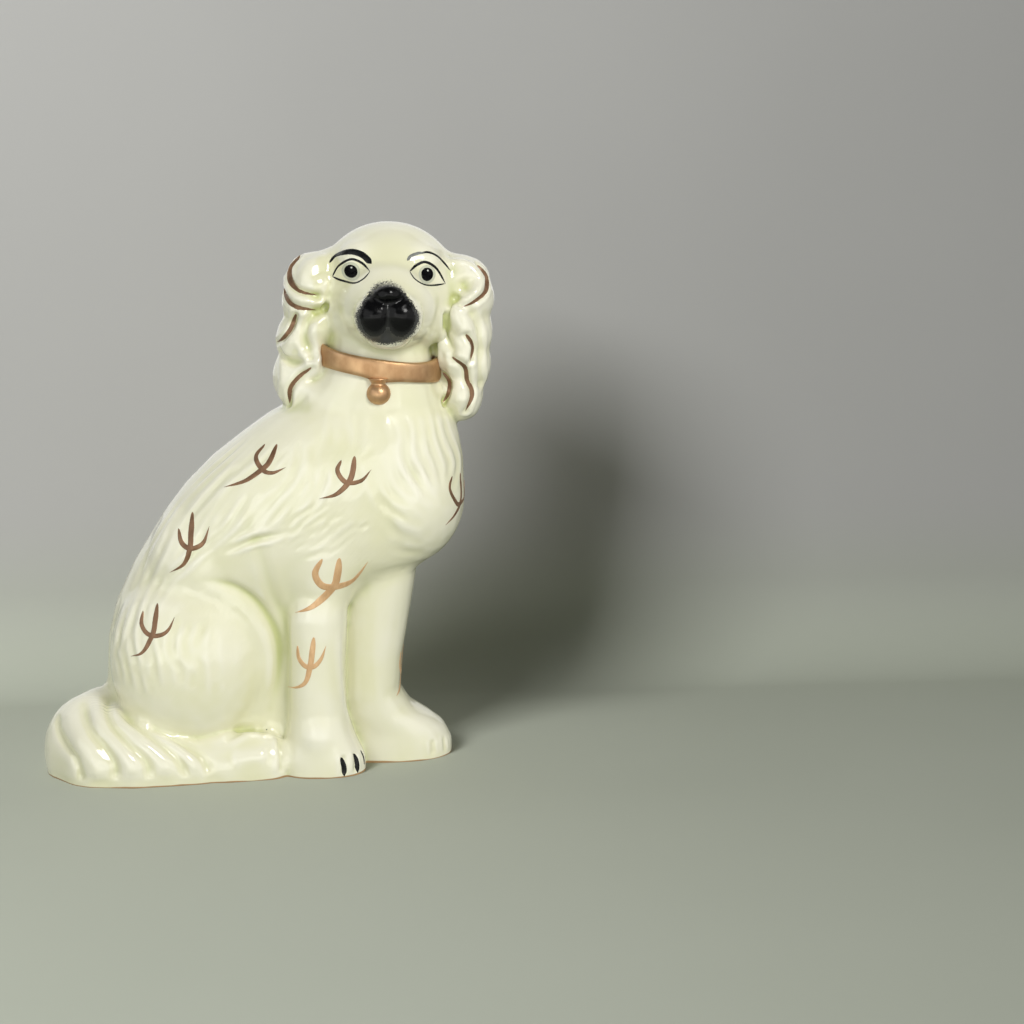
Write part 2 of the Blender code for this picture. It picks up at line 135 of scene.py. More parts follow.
# %% Which faces of the clay see daylight
def sky_rays(count=40):
    """Directions spread over the upper half of a sphere along a golden spiral."""
    k = np.arange(count) + 0.5
    height = k / count * 0.98 + 0.01
    turn = k * math.pi * (3.0 - math.sqrt(5.0))
    flat = np.sqrt(1.0 - height**2)
    return np.stack([flat * np.cos(turn), flat * np.sin(turn), height], 1)


def stacked(meshes):
    """Several (points, triangles) as one, with the number of the mesh that each triangle came from."""
    points, tris, owner, start = [], [], [], 0
    for number, (p, t) in enumerate(meshes):
        points.append(p)
        tris.append(t + start)
        owner.append(np.full(len(t), number))
        start += len(p)
    return np.concatenate(points), np.concatenate(tris), np.concatenate(owner)


def tree_of(points, tris):
    return BVHTree.FromPolygons(points.tolist(), tris.tolist())


GRAZING = 0.15  # a ray is tried when it leaves a face more steeply than this cosine


def daylight(centres, normals, tree):
    """True for each face from which at least one ray gets away without meeting the clay again."""
    level = sky_rays()
    both = np.concatenate([level, level * [1, 1, -0.12]])
    both /= np.linalg.norm(both, axis=1, keepdims=True)
    open_faces = np.zeros(len(centres), bool)
    for i, (centre, normal) in enumerate(zip(centres, normals)):
        start = Vector(centre + normal * 0.02)
        for ray in both[both @ normal > GRAZING]:
            if tree.ray_cast(start, Vector(ray))[0] is None:
                open_faces[i] = True
                break
    return open_faces


all_points, all_tris, all_owner = stacked([solids[name] for name in GLAZED + ["base_slab"]])
all_centres, all_normals = face_centres_normals(all_points, all_tris)
clay_tree = tree_of(all_points, all_tris)
seen = daylight(all_centres, all_normals, clay_tree)
underside = (all_normals[:, 2] < -0.9) & (all_centres[:, 2] < 0.5)
seen &= (all_owner < len(GLAZED)) & ~underside
print("faces outside:", int(seen.sum()), "of", len(seen))

# %% Fuse and relax the skin
CELL = 0.95  # the skin's cells, in mm


def fused_skin(meshes, cell):
    """One closed quad surface round all the solids, with cells of one size: points in mm and quads."""
    points, tris, _ = stacked(meshes)
    mesh = bpy.data.meshes.new("fusing")
    mesh.from_pydata((points * MM).tolist(), [], tris.tolist())
    obj = bpy.data.objects.new("fusing", mesh)
    bpy.context.scene.collection.objects.link(obj)
    remesh = obj.modifiers.new("fuse", "REMESH")
    remesh.mode = "VOXEL"
    remesh.voxel_size = cell * MM
    fine = obj.evaluated_get(bpy.context.evaluated_depsgraph_get()).to_mesh()
    coords = np.empty(len(fine.vertices) * 3, np.float32)
    fine.vertices.foreach_get("co", coords)
    quads = np.array([tuple(face.vertices) for face in fine.polygons if len(face.vertices) == 4])
    bpy.data.objects.remove(obj)
    return coords.reshape(-1, 3).astype(float) / MM, quads


def welded(points, tris):
    """The same surface with points at one place made one."""
    unique, index = np.unique(np.round(points, 3), axis=0, return_inverse=True)
    tris = index.reshape(-1)[tris]
    real = (tris[:, 0] != tris[:, 1]) & (tris[:, 1] != tris[:, 2]) & (tris[:, 0] != tris[:, 2])
    return unique, tris[real]


skin_points, skin_quads = fused_skin([welded(*solids[name]) for name in solids], CELL)
quad_middles = skin_points[skin_quads].mean(1)
print("fused skin:", len(skin_points), "points,", len(skin_quads), "quads")


# %% Keep the side that shows
def near_faces(points, tree, reach):
    """The face of the tree nearest to each point within reach, and its distance; -1 where there is none."""
    face, distance = np.full(len(points), -1), np.full(len(points), np.inf)
    for i, point in enumerate(points):
        hit = tree.find_nearest(point, reach)
        if hit[0] is not None:
            face[i], distance[i] = hit[2], hit[3]
    return face, distance


def kept(points, quads, keep):
    """The quads to keep, with the points no quad uses taken out."""
    quads = quads[keep]
    used = np.zeros(len(points), bool)
    used[quads] = True
    index = np.cumsum(used) - 1
    return points[used], index[quads]


# All in mm: how far the fused skin may lie from the clay it came from, the distance within which it belongs
# to that clay beyond doubt, and the height of the foot's edge.
CLAY_REACH, SURE_REACH, FOOT_EDGE = 4.6, 2.2, 0.6
SURE_FACING, FAR_FACING = -0.2, 0.15  # the least cosine between skin and clay, near it and farther off
LEAST_SKIN_PATCH = 20_000  # quads; a smaller patch is a lining inside the hollows
outer_tree = tree_of(all_points, all_tris[seen])
outer_owner = all_owner[seen]
_, outer_normals = face_centres_normals(all_points, all_tris[seen])
nearest, reach = near_faces(quad_middles, outer_tree, CLAY_REACH)
a, b, c, d = (skin_points[skin_quads[:, k]] for k in range(4))
quad_normals = np.cross(c - a, d - b)
quad_normals /= np.maximum(np.linalg.norm(quad_normals, axis=1, keepdims=True), 1e-9)
facing = (quad_normals * outer_normals[nearest]).sum(1) > np.where(reach < SURE_REACH, SURE_FACING, FAR_FACING)
outside = (nearest >= 0) & (quad_middles[:, 2] > FOOT_EDGE) & facing
skin_points, skin_quads = kept(skin_points, skin_quads, outside)


def patch_of(count, faces):
    """The number of the joined patch that each point is in: the lowest number spreads over the faces."""
    label = np.arange(count)
    while True:
        lowest = label[faces].min(1)
        fresh = label.copy()
        for k in range(faces.shape[1]):
            np.minimum.at(fresh, faces[:, k], lowest)
        fresh = fresh[fresh]
        if (fresh == label).all():
            return label
        label = fresh


def in_big_patch(count, faces, least):
    """Which faces are in a joined patch of at least that many faces."""
    patch = patch_of(count, faces)[faces[:, 0]]
    return np.bincount(patch, minlength=count)[patch] >= least


big = in_big_patch(len(skin_points), skin_quads, LEAST_SKIN_PATCH)
print("quads left out as loose patches:", int((~big).sum()))
skin_points, skin_quads = kept(skin_points, skin_quads, big)
print("skin that shows:", len(skin_points), "points,", len(skin_quads), "quads")


# %% Relax it
def edges_of(quads):
    """Each edge of the quads once, as pairs of points."""
    pairs = np.concatenate([quads[:, [0, 1]], quads[:, [1, 2]], quads[:, [2, 3]], quads[:, [3, 0]]])
    pairs = np.sort(pairs, axis=1)
    keys, count = np.unique(pairs[:, 0].astype(np.int64) * 10**7 + pairs[:, 1], return_counts=True)
    return np.stack([keys // 10**7, keys % 10**7], 1), count


class Net:
    """The skin's net of edges, for averaging values over neighbours."""

    def __init__(self, count, quads):
        self.edges, uses = edges_of(quads)
        self.count = count
        self.valence = np.bincount(self.edges.ravel(), minlength=count).astype(float)
        self.rim = np.zeros(count, bool)
        self.rim[self.edges[uses == 1]] = True

    def mean(self, values):
        """The average of each point's neighbours, for values (n,) or (n, k)."""
        flat = values.reshape(self.count, -1)
        total = np.empty_like(flat)
        for k in range(flat.shape[1]):
            column = flat[:, k]
            total[:, k] = np.bincount(self.edges[:, 0], column[self.edges[:, 1]], self.count)
            total[:, k] += np.bincount(self.edges[:, 1], column[self.edges[:, 0]], self.count)
        return (total / np.maximum(self.valence, 1)[:, None]).reshape(values.shape)

    def blurred(self, values, spread):
        """values averaged again and again, until they have spread over that many mm."""
        for _ in range(max(1, round((spread / CELL) ** 2 * 2.0))):
            values = 0.5 * values + 0.5 * self.mean(values)
        return values


def normals_of(points, quads):
    """A normal for each point: the sum of the normals of the quads round it."""
    face = np.cross(points[quads[:, 2]] - points[quads[:, 0]], points[quads[:, 3]] - points[quads[:, 1]])
    total = np.stack(
        [sum(np.bincount(quads[:, k], face[:, axis], len(points)) for k in range(4)) for axis in range(3)], 1
    )
    return total / np.maximum(np.linalg.norm(total, axis=1, keepdims=True), 1e-12)


def relaxed(points, net, spread, give_back=0.6):
    """Points smoothed over some mm. A share of what the smoothing took is given back, itself smoothed."""
    smooth = points.copy()
    for _ in range(round((spread / CELL) ** 2 * 2.0)):
        step = net.mean(smooth) - smooth
        step[net.rim, 2] = 0.0
        smooth += 0.5 * step
    taken = net.blurred(points - smooth, spread)
    taken[net.rim, 2] = 0.0
    return smooth + give_back * taken


net = Net(len(skin_points), skin_quads)
skin_points = relaxed(skin_points, net, 3.2)
skin_normals = normals_of(skin_points, skin_quads)
print("rim points:", int(net.rim.sum()), "| lowest", round(skin_points[:, 2].min(), 2))

# %% [markdown]
# ## Working the clay
#
# A presser leaves the locks of the ears, the folds of the coat and the ridges of the tail in the mould, and
# slip and glaze round them off. Here each one is a line drawn over the figure as seen from one side and
# dropped onto the skin. Points near the line move along their normals: inwards for a furrow, outwards for a
# roll. A line is easy to redraw, and the bell-shaped section keeps every edge as soft as glazed clay.

# %% Lines on the skin
skin_tree = None


def plant(points, quads):
    """Makes the tree that lines are dropped on, from the skin as it is now."""
    global skin_tree
    skin_tree = tree_of(points, quads)


def curve_through(stops, step=0.7):
    """A smooth curve through its stops, by Catmull and Rom's cubic, with a point about every step mm."""
    p = np.asarray(stops, float)
    p = np.concatenate([[2 * p[0] - p[1]], p, [2 * p[-1] - p[-2]]])
    pieces = []
    for a, b, c, d in zip(p[:-3], p[1:-2], p[2:-1], p[3:]):
        count = max(3, int(np.linalg.norm(c - b) / step))
        t = np.linspace(0, 1, count, endpoint=False)[:, None]
        bend, twist = 2 * a - 5 * b + 4 * c - d, 3 * b - a - 3 * c + d
        pieces.append(0.5 * (2 * b + (c - a) * t + bend * t**2 + twist * t**3))
    return np.concatenate([*pieces, p[-2:-1]])


def dropped(across_up, azimuth=0.0):
    """Points drawn as (across, up) in mm, seen from an azimuth in degrees, dropped onto the skin.

    Azimuth 0 looks along +Y, so across is x. Returns places and normals; points that miss are left out.
    """
    turn = math.radians(azimuth)
    right = np.array([math.cos(turn), math.sin(turn), 0.0])
    look = np.array([-math.sin(turn), math.cos(turn), 0.0])
    starts = across_up[:, :1] * right + across_up[:, 1:] * np.array([0.0, 0.0, 1.0]) - 300.0 * look
    hits = [skin_tree.ray_cast(Vector(start), Vector(look)) for start in starts]
    hits = [hit for hit in hits if hit[0] is not None]
    places, normals = (np.array([hit[k] for hit in hits]).reshape(-1, 3) for k in range(2))
    return places, normals


def near_line(points, line, most):
    """How far each point is from a dense line, at most that many mm, and the share of the line beside it."""
    away, share = np.full(len(points), float(most)), np.zeros(len(points))
    near = np.where(((points > line.min(0) - most) & (points < line.max(0) + most)).all(1))[0]
    for part in np.array_split(near, max(1, len(near) * len(line) // 4_000_000 + 1)):
        if len(part):
            gap = ((points[part][:, None, :] - line[None, :, :]) ** 2).sum(2)
            closest = gap.argmin(1)
            away[part] = np.minimum(np.sqrt(gap[np.arange(len(part)), closest]), most)
            share[part] = closest / max(1, len(line) - 1)
    return away, share


def bell(away, width):
    """1 on the line, falling as exp(-(away / width) squared)."""
    return np.exp(-((away / width) ** 2))


def faded(share, fade):
    """0 at both ends of a line, rising to 1 over the fade's share of its length."""
    t = np.clip(np.minimum(share, 1 - share) / max(fade, 1e-6), 0, 1)
    return t * t * (3 - 2 * t)


def furrow(points, stops, depth, width, azimuth=0.0, lip=0.35, fade=0.0):
    """The rise of a furrow in mm: a bell pressed in along the line, with a low lip on both sides."""
    line, _ = dropped(curve_through(stops), azimuth)
    if len(line) < 2:
        return np.zeros(len(points))
    away, share = near_line(points, line, 4 * width)
    rise = -depth * bell(away, width) + lip * depth * bell(away - 2.0 * width, 0.8 * width)
    return rise * (faded(share, fade) if fade else 1.0)


def roll(points, stops, height, width, azimuth=0.0, fade=0.0):
    """The rise of a roll of clay in mm: a bell raised along the line."""
    line, _ = dropped(curve_through(stops), azimuth)
    if len(line) < 2:
        return np.zeros(len(points))
    away, share = near_line(points, line, 3 * width)
    return height * bell(away, width) * (faded(share, fade) if fade else 1.0)


def dab(points, across, up, height, radius, azimuth=0.0):
    """The rise of a thumbed mound, or with a height below zero of a hollow, round one place."""
    place, _ = dropped(np.array([[across, up]]), azimuth)
    if len(place) == 0:
        return np.zeros(len(points))
    return height * bell(near_line(points, place, 3 * radius)[0], radius)


def worked(points, quads, net, rise):
    """Points moved along their normals by a rise in mm. The rim stays on the ground."""
    moved = points + normals_of(points, quads) * rise[:, None]
    moved[net.rim, 2] = points[net.rim, 2]
    return moved


def sponged(points, net, share, spread):
    """Points drawn towards a smoother skin by a share of 0 to 1 each, as a wet sponge rounds off clay."""
    return points + (relaxed(points, net, spread, give_back=0.35) - points) * share[:, None]


plant(skin_points, skin_quads)
print("a line dropped on the skin:", np.round(dropped(np.array([[43.0, 166.0]]))[0], 1))

# %% Sponge the joints
def along_line(points, stops, width, azimuth=0.0):
    """1 along a line, falling off over width."""
    line, _ = dropped(curve_through(stops), azimuth)
    return bell(near_line(points, line, 2.6 * width)[0], width)


def joint_share(points):
    """Where the presser sponged hard: leg tops and sides, forehead, and the root of the tail."""
    lines = (
        # stops, width
        (((2.0, 20.0), (2.0, 60.0), (2.0, 100.0), (8.0, 120.0)), 9.0),
        (((4.0, 118.0), (20.0, 122.0), (38.0, 120.0), (52.0, 112.0)), 13.0),
        (((-92.0, 46.0), (-84.0, 40.0), (-74.0, 34.0), (-62.0, 27.0)), 8.0),
        (((-56.0, 22.0), (-30.0, 17.0), (-6.0, 20.0)), 5.0),
        (((38.0, 104.0), (37.0, 82.0), (37.0, 60.0), (39.0, 40.0), (43.0, 25.0)), 8.0),
        (((54.0, 112.0), (70.0, 112.0), (90.0, 116.0)), 6.0),
        (((28.0, 262.0), (29.0, 248.0), (30.0, 236.0)), 5.0),
        (((97.0, 262.0), (96.0, 250.0), (93.0, 240.0)), 5.0),
    )
    share = np.zeros(len(points))
    for stops, width in lines:
        share = np.maximum(share, along_line(points, stops, width))
        share = np.maximum(share, 0.7 * along_line(points, [(-x, z) for x, z in stops], width, 180.0))
    x, y, z = points.T
    brow = np.clip((z - 284.0) / 5.0, 0, 1) * np.clip((20.0 - y) / 14.0, 0, 1)
    return np.maximum(share, brow * bell(np.abs(x - 67.0), 42.0))


share = joint_share(skin_points)
skin_points = sponged(skin_points, net, np.clip(1.25 * share, 0, 1), 8.0)
plant(skin_points, skin_quads)
print("sponged over", round(float((share > 0.5).mean()) * 100, 1), "% of the skin")

# %% [markdown]
# ## The ears
#
# Each ear is a fall of curling locks. On the figure's right ear two rolls sit over a long wavy lock, and on
# its left ear the top lock curls round a hollow above three hanging ones. The furrows come first, because the
# gilder later follows them with the brush, and the rolls and mounds between them give the locks their swell.

# %% Curls of the right ear
RIGHT_EAR_LINES = (
    ((20.8, 287.0), (15.0, 280.0), (14.5, 273.5), (19.0, 268.0), (28.5, 265.8)),
    ((9.8, 272.0), (12.5, 263.5), (18.0, 259.5), (27.5, 257.6)),
    ((17.0, 255.5), (14.8, 248.5), (10.6, 242.5), (5.8, 238.0)),
    ((24.8, 226.5), (17.6, 220.5), (13.4, 214.5), (12.6, 206.0)),
)


def right_ear_rise(points):
    rise = sum(furrow(points, stops, 1.5, 1.7) for stops in RIGHT_EAR_LINES)
    rise += roll(points, ((33.0, 285.0), (25.0, 281.0), (22.5, 273.5), (31.0, 271.0)), 2.2, 5.0)
    rise += roll(points, ((12.0, 278.0), (13.0, 268.5), (19.0, 263.5), (30.0, 262.0)), 1.6, 2.6)
    rise += furrow(points, ((33.0, 259.0), (24.0, 252.5), (21.5, 243.0), (25.0, 233.0)), 2.4, 2.2)
    rise += dab(points, 28.5, 247.0, 1.6, 6.0) + dab(points, 24.0, 213.5, 2.2, 5.5)
    rise += furrow(points, ((8.5, 235.0), (14.0, 229.0), (24.5, 230.5)), 1.3, 2.0)
    rise += roll(points, ((15.0, 240.0), (9.5, 231.0), (9.0, 221.0), (8.0, 210.0)), 1.4, 3.2)
    return rise


# %% Curls of the left ear
LEFT_EAR_LINES = (
    ((117.5, 280.5), (122.0, 273.8), (120.8, 266.8), (114.0, 261.6), (107.5, 258.6)),
    ((109.6, 244.0), (113.2, 237.0), (112.2, 229.0)),
    ((102.0, 231.4), (109.0, 225.6), (110.6, 218.0), (113.0, 209.8), (109.8, 200.6)),
    ((97.6, 221.6), (101.4, 216.4), (100.2, 209.4), (97.2, 204.6)),
)


def left_ear_rise(points):
    rise = sum(furrow(points, stops, 1.5, 1.7) for stops in LEFT_EAR_LINES)
    rise += dab(points, 109.5, 270.5, -3.4, 4.0) + dab(points, 105.0, 263.0, -2.0, 2.6)
    top_lock = ((101.0, 282.0), (111.0, 281.0), (117.5, 273.0), (114.0, 265.5), (106.5, 258.0))
    rise += roll(points, top_lock, 2.4, 3.6)
    rise += roll(points, ((102.5, 256.0), (107.0, 249.0), (109.6, 240.0), (108.5, 231.5)), 2.4, 4.0)
    rise += furrow(points, ((112.5, 256.0), (117.0, 246.0), (117.5, 232.0), (118.5, 216.0)), 1.4, 2.4)
    rise += furrow(points, ((98.5, 254.0), (99.5, 243.0), (102.5, 235.0)), 1.8, 2.0)
    rise += roll(points, ((101.0, 226.0), (105.8, 217.0), (106.5, 208.0)), 2.0, 3.4)
    rise += dab(points, 96.8, 213.0, 1.8, 4.0)
    return rise


def backs_of_ears(points):
    """Plain hanging locks on the sides that face backwards."""
    rise = np.zeros(len(points))
    for across in (-122.0, -114.0, -106.0):
        stops = ((across, 280.0), (across + 3.0, 255.0), (across - 2.0, 232.0), (across + 2.0, 208.0))
        rise += furrow(points, stops, 1.2, 2.4, azimuth=180.0)
    for across in (-30.0, -21.0, -13.0):
        stops = ((across, 284.0), (across - 3.0, 258.0), (across + 2.0, 234.0), (across - 1.0, 210.0))
        rise += furrow(points, stops, 1.2, 2.4, azimuth=180.0)
    return rise


rise = right_ear_rise(skin_points) + left_ear_rise(skin_points) + backs_of_ears(skin_points)
skin_points = worked(skin_points, skin_quads, net, rise)
print("ears worked")

# %% [markdown]
# ## The face
#
# The face is a smooth mask. Shallow hollows take the painted eyes, a soft furrow parts the muzzle into two
# pads under a small nose, and a notch under them marks the mouth.

# %% Face
EYES = ((46.6, 278.6), (88.4, 277.2))
NOSE_AT, MUZZLE_AT = (65.6, 270.0), (65.0, 257.6)


def face_rise(points):
    rise = sum(dab(points, x, z, -1.3, 9.0) for x, z in EYES)
    rise += sum(dab(points, x, z, 0.7, 4.6) for x, z in EYES)
    x, z = MUZZLE_AT
    rise += furrow(points, ((x + 0.6, z + 8.0), (x + 0.2, z), (x - 0.4, z - 9.0)), 1.3, 1.7, lip=0.2)
    under_nose = ((-9.5, 10.5), (-4.5, 7.6), (0.6, 6.6), (5.4, 7.6), (10.0, 10.0))
    rise += furrow(points, [(x + dx, z + dz) for dx, dz in under_nose], 1.1, 1.5, lip=0.2)
    rise += dab(points, x - 6.8, z + 0.5, 1.6, 5.6) + dab(points, x + 7.0, z + 0.3, 1.6, 5.6)
    rise += dab(points, x - 0.6, z - 11.4, -1.6, 2.4)
    rise += dab(points, *NOSE_AT, 1.2, 4.4)
    rise += roll(points, ((98.0, 248.0), (97.5, 240.0), (97.0, 231.0), (97.5, 222.0)), 2.6, 3.4, fade=0.2)
    return rise


skin_points = worked(skin_points, skin_quads, net, face_rise(skin_points))
plant(skin_points, skin_quads)
print("face worked")

# %% [markdown]
# ## The coat, the legs and the tail
#
# Long shallow strands follow the back, shorter ones cross the flank and the chest, a furrow and a roll bound
# the haunch, and the tail lies in broad ridges. The strands are combed by rule: each lock is drawn as two
# guide lines, and its strands lie between them, waved, broken into runs and pushed a little aside by a fixed
# seed, so the coat stays regular without looking ruled.

# %% Tail, paws and haunch
TAIL_RIDGES = (
    ((-119.5, 36.0), (-118.6, 29.0), (-115.0, 23.0), (-107.5, 15.0), (-104.5, 2.5)),
    ((-105.0, 46.0), (-102.8, 38.0), (-99.0, 30.5), (-91.4, 22.0), (-86.0, 13.5), (-86.4, 3.5)),
    ((-92.0, 43.0), (-88.3, 33.3), (-78.4, 24.0), (-69.0, 14.6), (-67.6, 4.2)),
    ((-84.8, 39.0), (-79.0, 34.0), (-66.0, 26.0), (-54.0, 17.0), (-48.8, 9.5), (-48.6, 3.5)),
    ((-70.0, 31.6), (-60.0, 27.0), (-48.0, 20.5), (-39.0, 14.0), (-34.4, 5.0)),
)
HAUNCH_EDGE = (
    (-40.0, 113.0), (-28.0, 111.5), (-15.0, 105.5), (-4.0, 94.0), (3.6, 76.0), (3.4, 54.0), (-1.6, 36.0)
)
BELLY_FOLD = (
    (-13.0, 150.0), (-8.0, 136.0), (-3.0, 122.0), (0.8, 104.0), (7.2, 88.0), (9.4, 66.0), (8.0, 44.0)
)


def places_along(line, shares):
    """Places at some shares of the way along a line of (across, up), counted by its stops."""
    line = np.asarray(line, float)
    stops = np.linspace(0, 1, len(line))
    return np.stack([np.interp(shares, stops, line[:, k]) for k in range(2)], 1)


def lines_between(lines):
    """The lines that run midway between each two neighbours."""
    even = [places_along(line, np.linspace(0, 1, 7)) for line in lines]
    return [(first + second) / 2 for first, second in zip(even[:-1], even[1:])]


def limb_rise(points):
    rise = sum(furrow(points, stops, 1.9, 2.7, lip=0.0, fade=0.12) for stops in TAIL_RIDGES)
    rise += sum(roll(points, stops, 1.5, 4.6, fade=0.15) for stops in lines_between(TAIL_RIDGES))
    rise += furrow(points, HAUNCH_EDGE, 2.1, 2.7, lip=0.0, fade=0.3)
    rise += roll(points, [(x - 7.0, z - 6.5) for x, z in HAUNCH_EDGE], 3.2, 7.0, fade=0.35)
    rise += furrow(points, BELLY_FOLD, 0.6, 3.0, lip=0.3, fade=0.4)
    rise += roll(points, ((37.0, 84.0), (37.6, 60.0), (40.0, 38.0), (45.0, 22.0)), 0.8, 4.0, fade=0.2)
    rise += furrow(points, ((38.8, 13.0), (38.9, 6.5), (38.7, 1.5)), 1.0, 1.5, fade=0.15)
    rise += furrow(points, ((45.4, 13.0), (45.6, 6.5), (45.3, 1.5)), 1.0, 1.5, fade=0.15)
    rise += dab(points, 24.0, 22.0, 1.6, 7.0) + dab(points, 100.0, 18.0, 0.8, 8.0)
    rise += furrow(points, ((-30.0, 20.5), (-21.0, 24.0), (-10.0, 24.5), (-2.0, 22.0)), 0.9, 2.4, fade=0.3)
    rise += roll(points, ((-24.0, 13.0), (-12.0, 14.5), (-2.0, 14.0)), 1.3, 4.6, fade=0.2)
    rise += furrow(points, ((3.6, 21.0), (4.6, 12.0), (4.4, 3.0)), 1.3, 1.8, fade=0.15)
    for across in (97.5, 90.5):
        rise += furrow(points, ((across, 12.0), (across + 0.6, 2.0)), 0.7, 1.6, fade=0.3)
    for stops in TAIL_RIDGES:
        back = [(-x, z) for x, z in stops]
        rise += furrow(points, back, 1.7, 2.7, azimuth=180.0, lip=0.2, fade=0.12)
    return rise


# %% The combed coat
def between_guides(first, second, count, breaks, rng, spread, wave):
    """Long strands laid between two guide lines, each broken into a few runs, as (x, z) stops.

    A strand at share s is the first guide times 1 - s plus the second times s, pushed a little sideways. It
    waves across its run by wave times sin(2 pi (1.7 along + 0.2 s)).
    """
    along = np.linspace(0, 1, 25)
    first, second = (places_along(curve_through(guide, 6.0), along) for guide in (first, second))
    runs = []
    for s in np.linspace(0, 1, count):
        strand = first * (1 - s) + second * s + rng.normal(0, spread, (1, 2))
        run = np.gradient(strand, axis=0)
        side = np.stack([-run[:, 1], run[:, 0]], 1) / np.linalg.norm(run, axis=1, keepdims=True)
        strand = strand + side * (wave * np.sin(2 * math.pi * (1.7 * along + 0.2 * s)))[:, None]
        cuts = np.sort(rng.uniform(0.12, 0.88, breaks - 1)) if breaks > 1 else np.array([])
        edges = np.concatenate([[rng.uniform(0.0, 0.08)], cuts, [rng.uniform(0.92, 1.0)]])
        for start, end in zip(edges[:-1], edges[1:]):
            if end - start > 0.12:
                places = np.linspace(start, min(end + 0.05, 1.0), 9)
                runs.append(places_along(strand, places))
    return runs


COAT_LOCKS = (
    # first guide, second guide, strands, runs in each, depth, width, wave
    (((-6, 192), (-34, 168), (-62, 132), (-80, 92), (-86, 62)), ((14, 192), (-6, 164), (-30, 134), (-50, 118)),
     7, 3, 0.62, 1.9, 1.0),
    (((18, 196), (10, 168), (-12, 144), (-36, 124)), ((33, 188), (28, 160), (12, 140), (-12, 132)),
     7, 2, 0.58, 1.7, 1.2),
    (((30, 158), (14, 146), (2, 132)), ((56, 146), (40, 132), (20, 122)), 8, 2, 0.42, 1.3, 0.6),
    (((-82, 104), (-86, 76), (-80, 52)), ((-62, 104), (-66, 78), (-60, 48)), 5, 2, 0.50, 1.8, 0.8),
    (((-50, 98), (-54, 78), (-48, 54)), ((-30, 92), (-32, 70), (-30, 50)), 4, 2, 0.40, 2.0, 0.8),
    (((38, 214), (37, 198), (32, 180)), ((60, 206), (61, 192), (58, 176)), 5, 1, 0.42, 2.4, 1.0),
    (((70, 206), (78, 190), (80, 172), (92, 152)), ((92, 208), (100, 190), (103, 170), (101, 154)),
     5, 1, 0.60, 2.3, 1.6),
    (((52, 178), (60, 160), (72, 146), (88, 138)), ((70, 196), (75, 178), (83, 160), (96, 148)),
     4, 1, 0.45, 2.4, 1.4),
    (((22, 188), (25, 172), (18, 156)), ((46, 184), (48, 168), (42, 152)), 5, 1, 0.40, 2.0, 1.0),
    (((60, 150), (70, 138), (86, 130)), ((66, 134), (76, 126), (90, 122)), 3, 1, 0.45, 2.4, 0.8),
)


def coat_rise(points, azimuth=0.0, mirror=1.0):
    rng = np.random.default_rng(7)
    rise = np.zeros(len(points))
    for first, second, count, breaks, depth, width, wave in COAT_LOCKS:
        for stops in between_guides(first, second, count, breaks, rng, spread=0.8, wave=wave):
            pressed = depth * rng.uniform(0.5, 1.0)
            stops = stops * np.array([mirror, 1.0])
            rise += furrow(points, stops, pressed, width, azimuth, lip=0.5, fade=0.35)
    return rise


rise = limb_rise(skin_points) + coat_rise(skin_points) + coat_rise(skin_points, 180.0, -1.0)
skin_points = worked(skin_points, skin_quads, net, rise)
skin_points = relaxed(skin_points, net, 0.8)
plant(skin_points, skin_quads)


OFF_GROUND = 3.0  # mm; a rim higher than this is round an opening and not at the foot
FOOT_LIFT = 0.05  # mm between the foot's edge and the ground
PASSED_OVER = 1e3  # mm added to the gap to a neighbour, so that a point across is nearer


def rim_loops(quads, count):
    """The closed runs of edges that only one quad uses, each as a list of point numbers."""
    first, second = quads.ravel(), np.roll(quads, -1, axis=1).ravel()
    lone = ~np.isin(first.astype(np.int64) * count + second, second.astype(np.int64) * count + first)
    onward = dict(zip(first[lone].tolist(), second[lone].tolist()))
    loops = []
    while onward:
        start = next(iter(onward))
        loop, place = [start], onward.pop(start)
        while place != start and place in onward:
            loop.append(place)
            place = onward.pop(place)
        loops.append(loop)
    return loops


def zipped(points, quads, rounds=14):
    """Small openings above the ground drawn shut: each rim point goes half way to the nearest across."""
    points = points.copy()
    for loop in rim_loops(quads, len(points)):
        if points[loop, 2].min() > OFF_GROUND:
            order = np.arange(len(loop))
            steps = np.abs(order[:, None] - order[None, :])
            beside = np.minimum(steps, len(loop) - steps) <= (2 if len(loop) > 8 else 1)
            for _ in range(rounds):
                ring = points[loop]
                gap = np.linalg.norm(ring[:, None, :] - ring[None, :, :], axis=2)
                across = np.where(beside, gap + PASSED_OVER, gap).argmin(1)
                points[loop] = (ring + ring[across]) / 2
    return points


skin_points = zipped(skin_points, skin_quads)
high_rim = net.rim & (skin_points[:, 2] > OFF_GROUND)
skin_points[net.rim & ~high_rim, 2] = FOOT_LIFT
plant(skin_points, skin_quads)
skin_normals = normals_of(skin_points, skin_quads)
print("coat, legs and tail worked | rim points off the ground:", int(high_rim.sum()))

# %% [markdown]
# ## What the glaze and the brush will need
#
# Glaze runs off the crests and pools in the hollows, where it is thick enough to show its yellow-green. The same
# value also paints shade: a deeper green in the hollows and the creases between pieces, and a paler highlight on
# the crests. How hollow a place is can be measured: blur the points, and see how far the blurred skin lies above
# the real one.
# Two blurs, a narrow one for furrows and a wide one for the creases between the pieces, make one value.

# %% Where glaze pools and shade is painted into the hollows
def hollowness(points, normals, net, spread):
    """How far the blurred skin lies outside each point along its normal, in mm."""
    return ((net.blurred(points, spread) - points) * normals).sum(1)


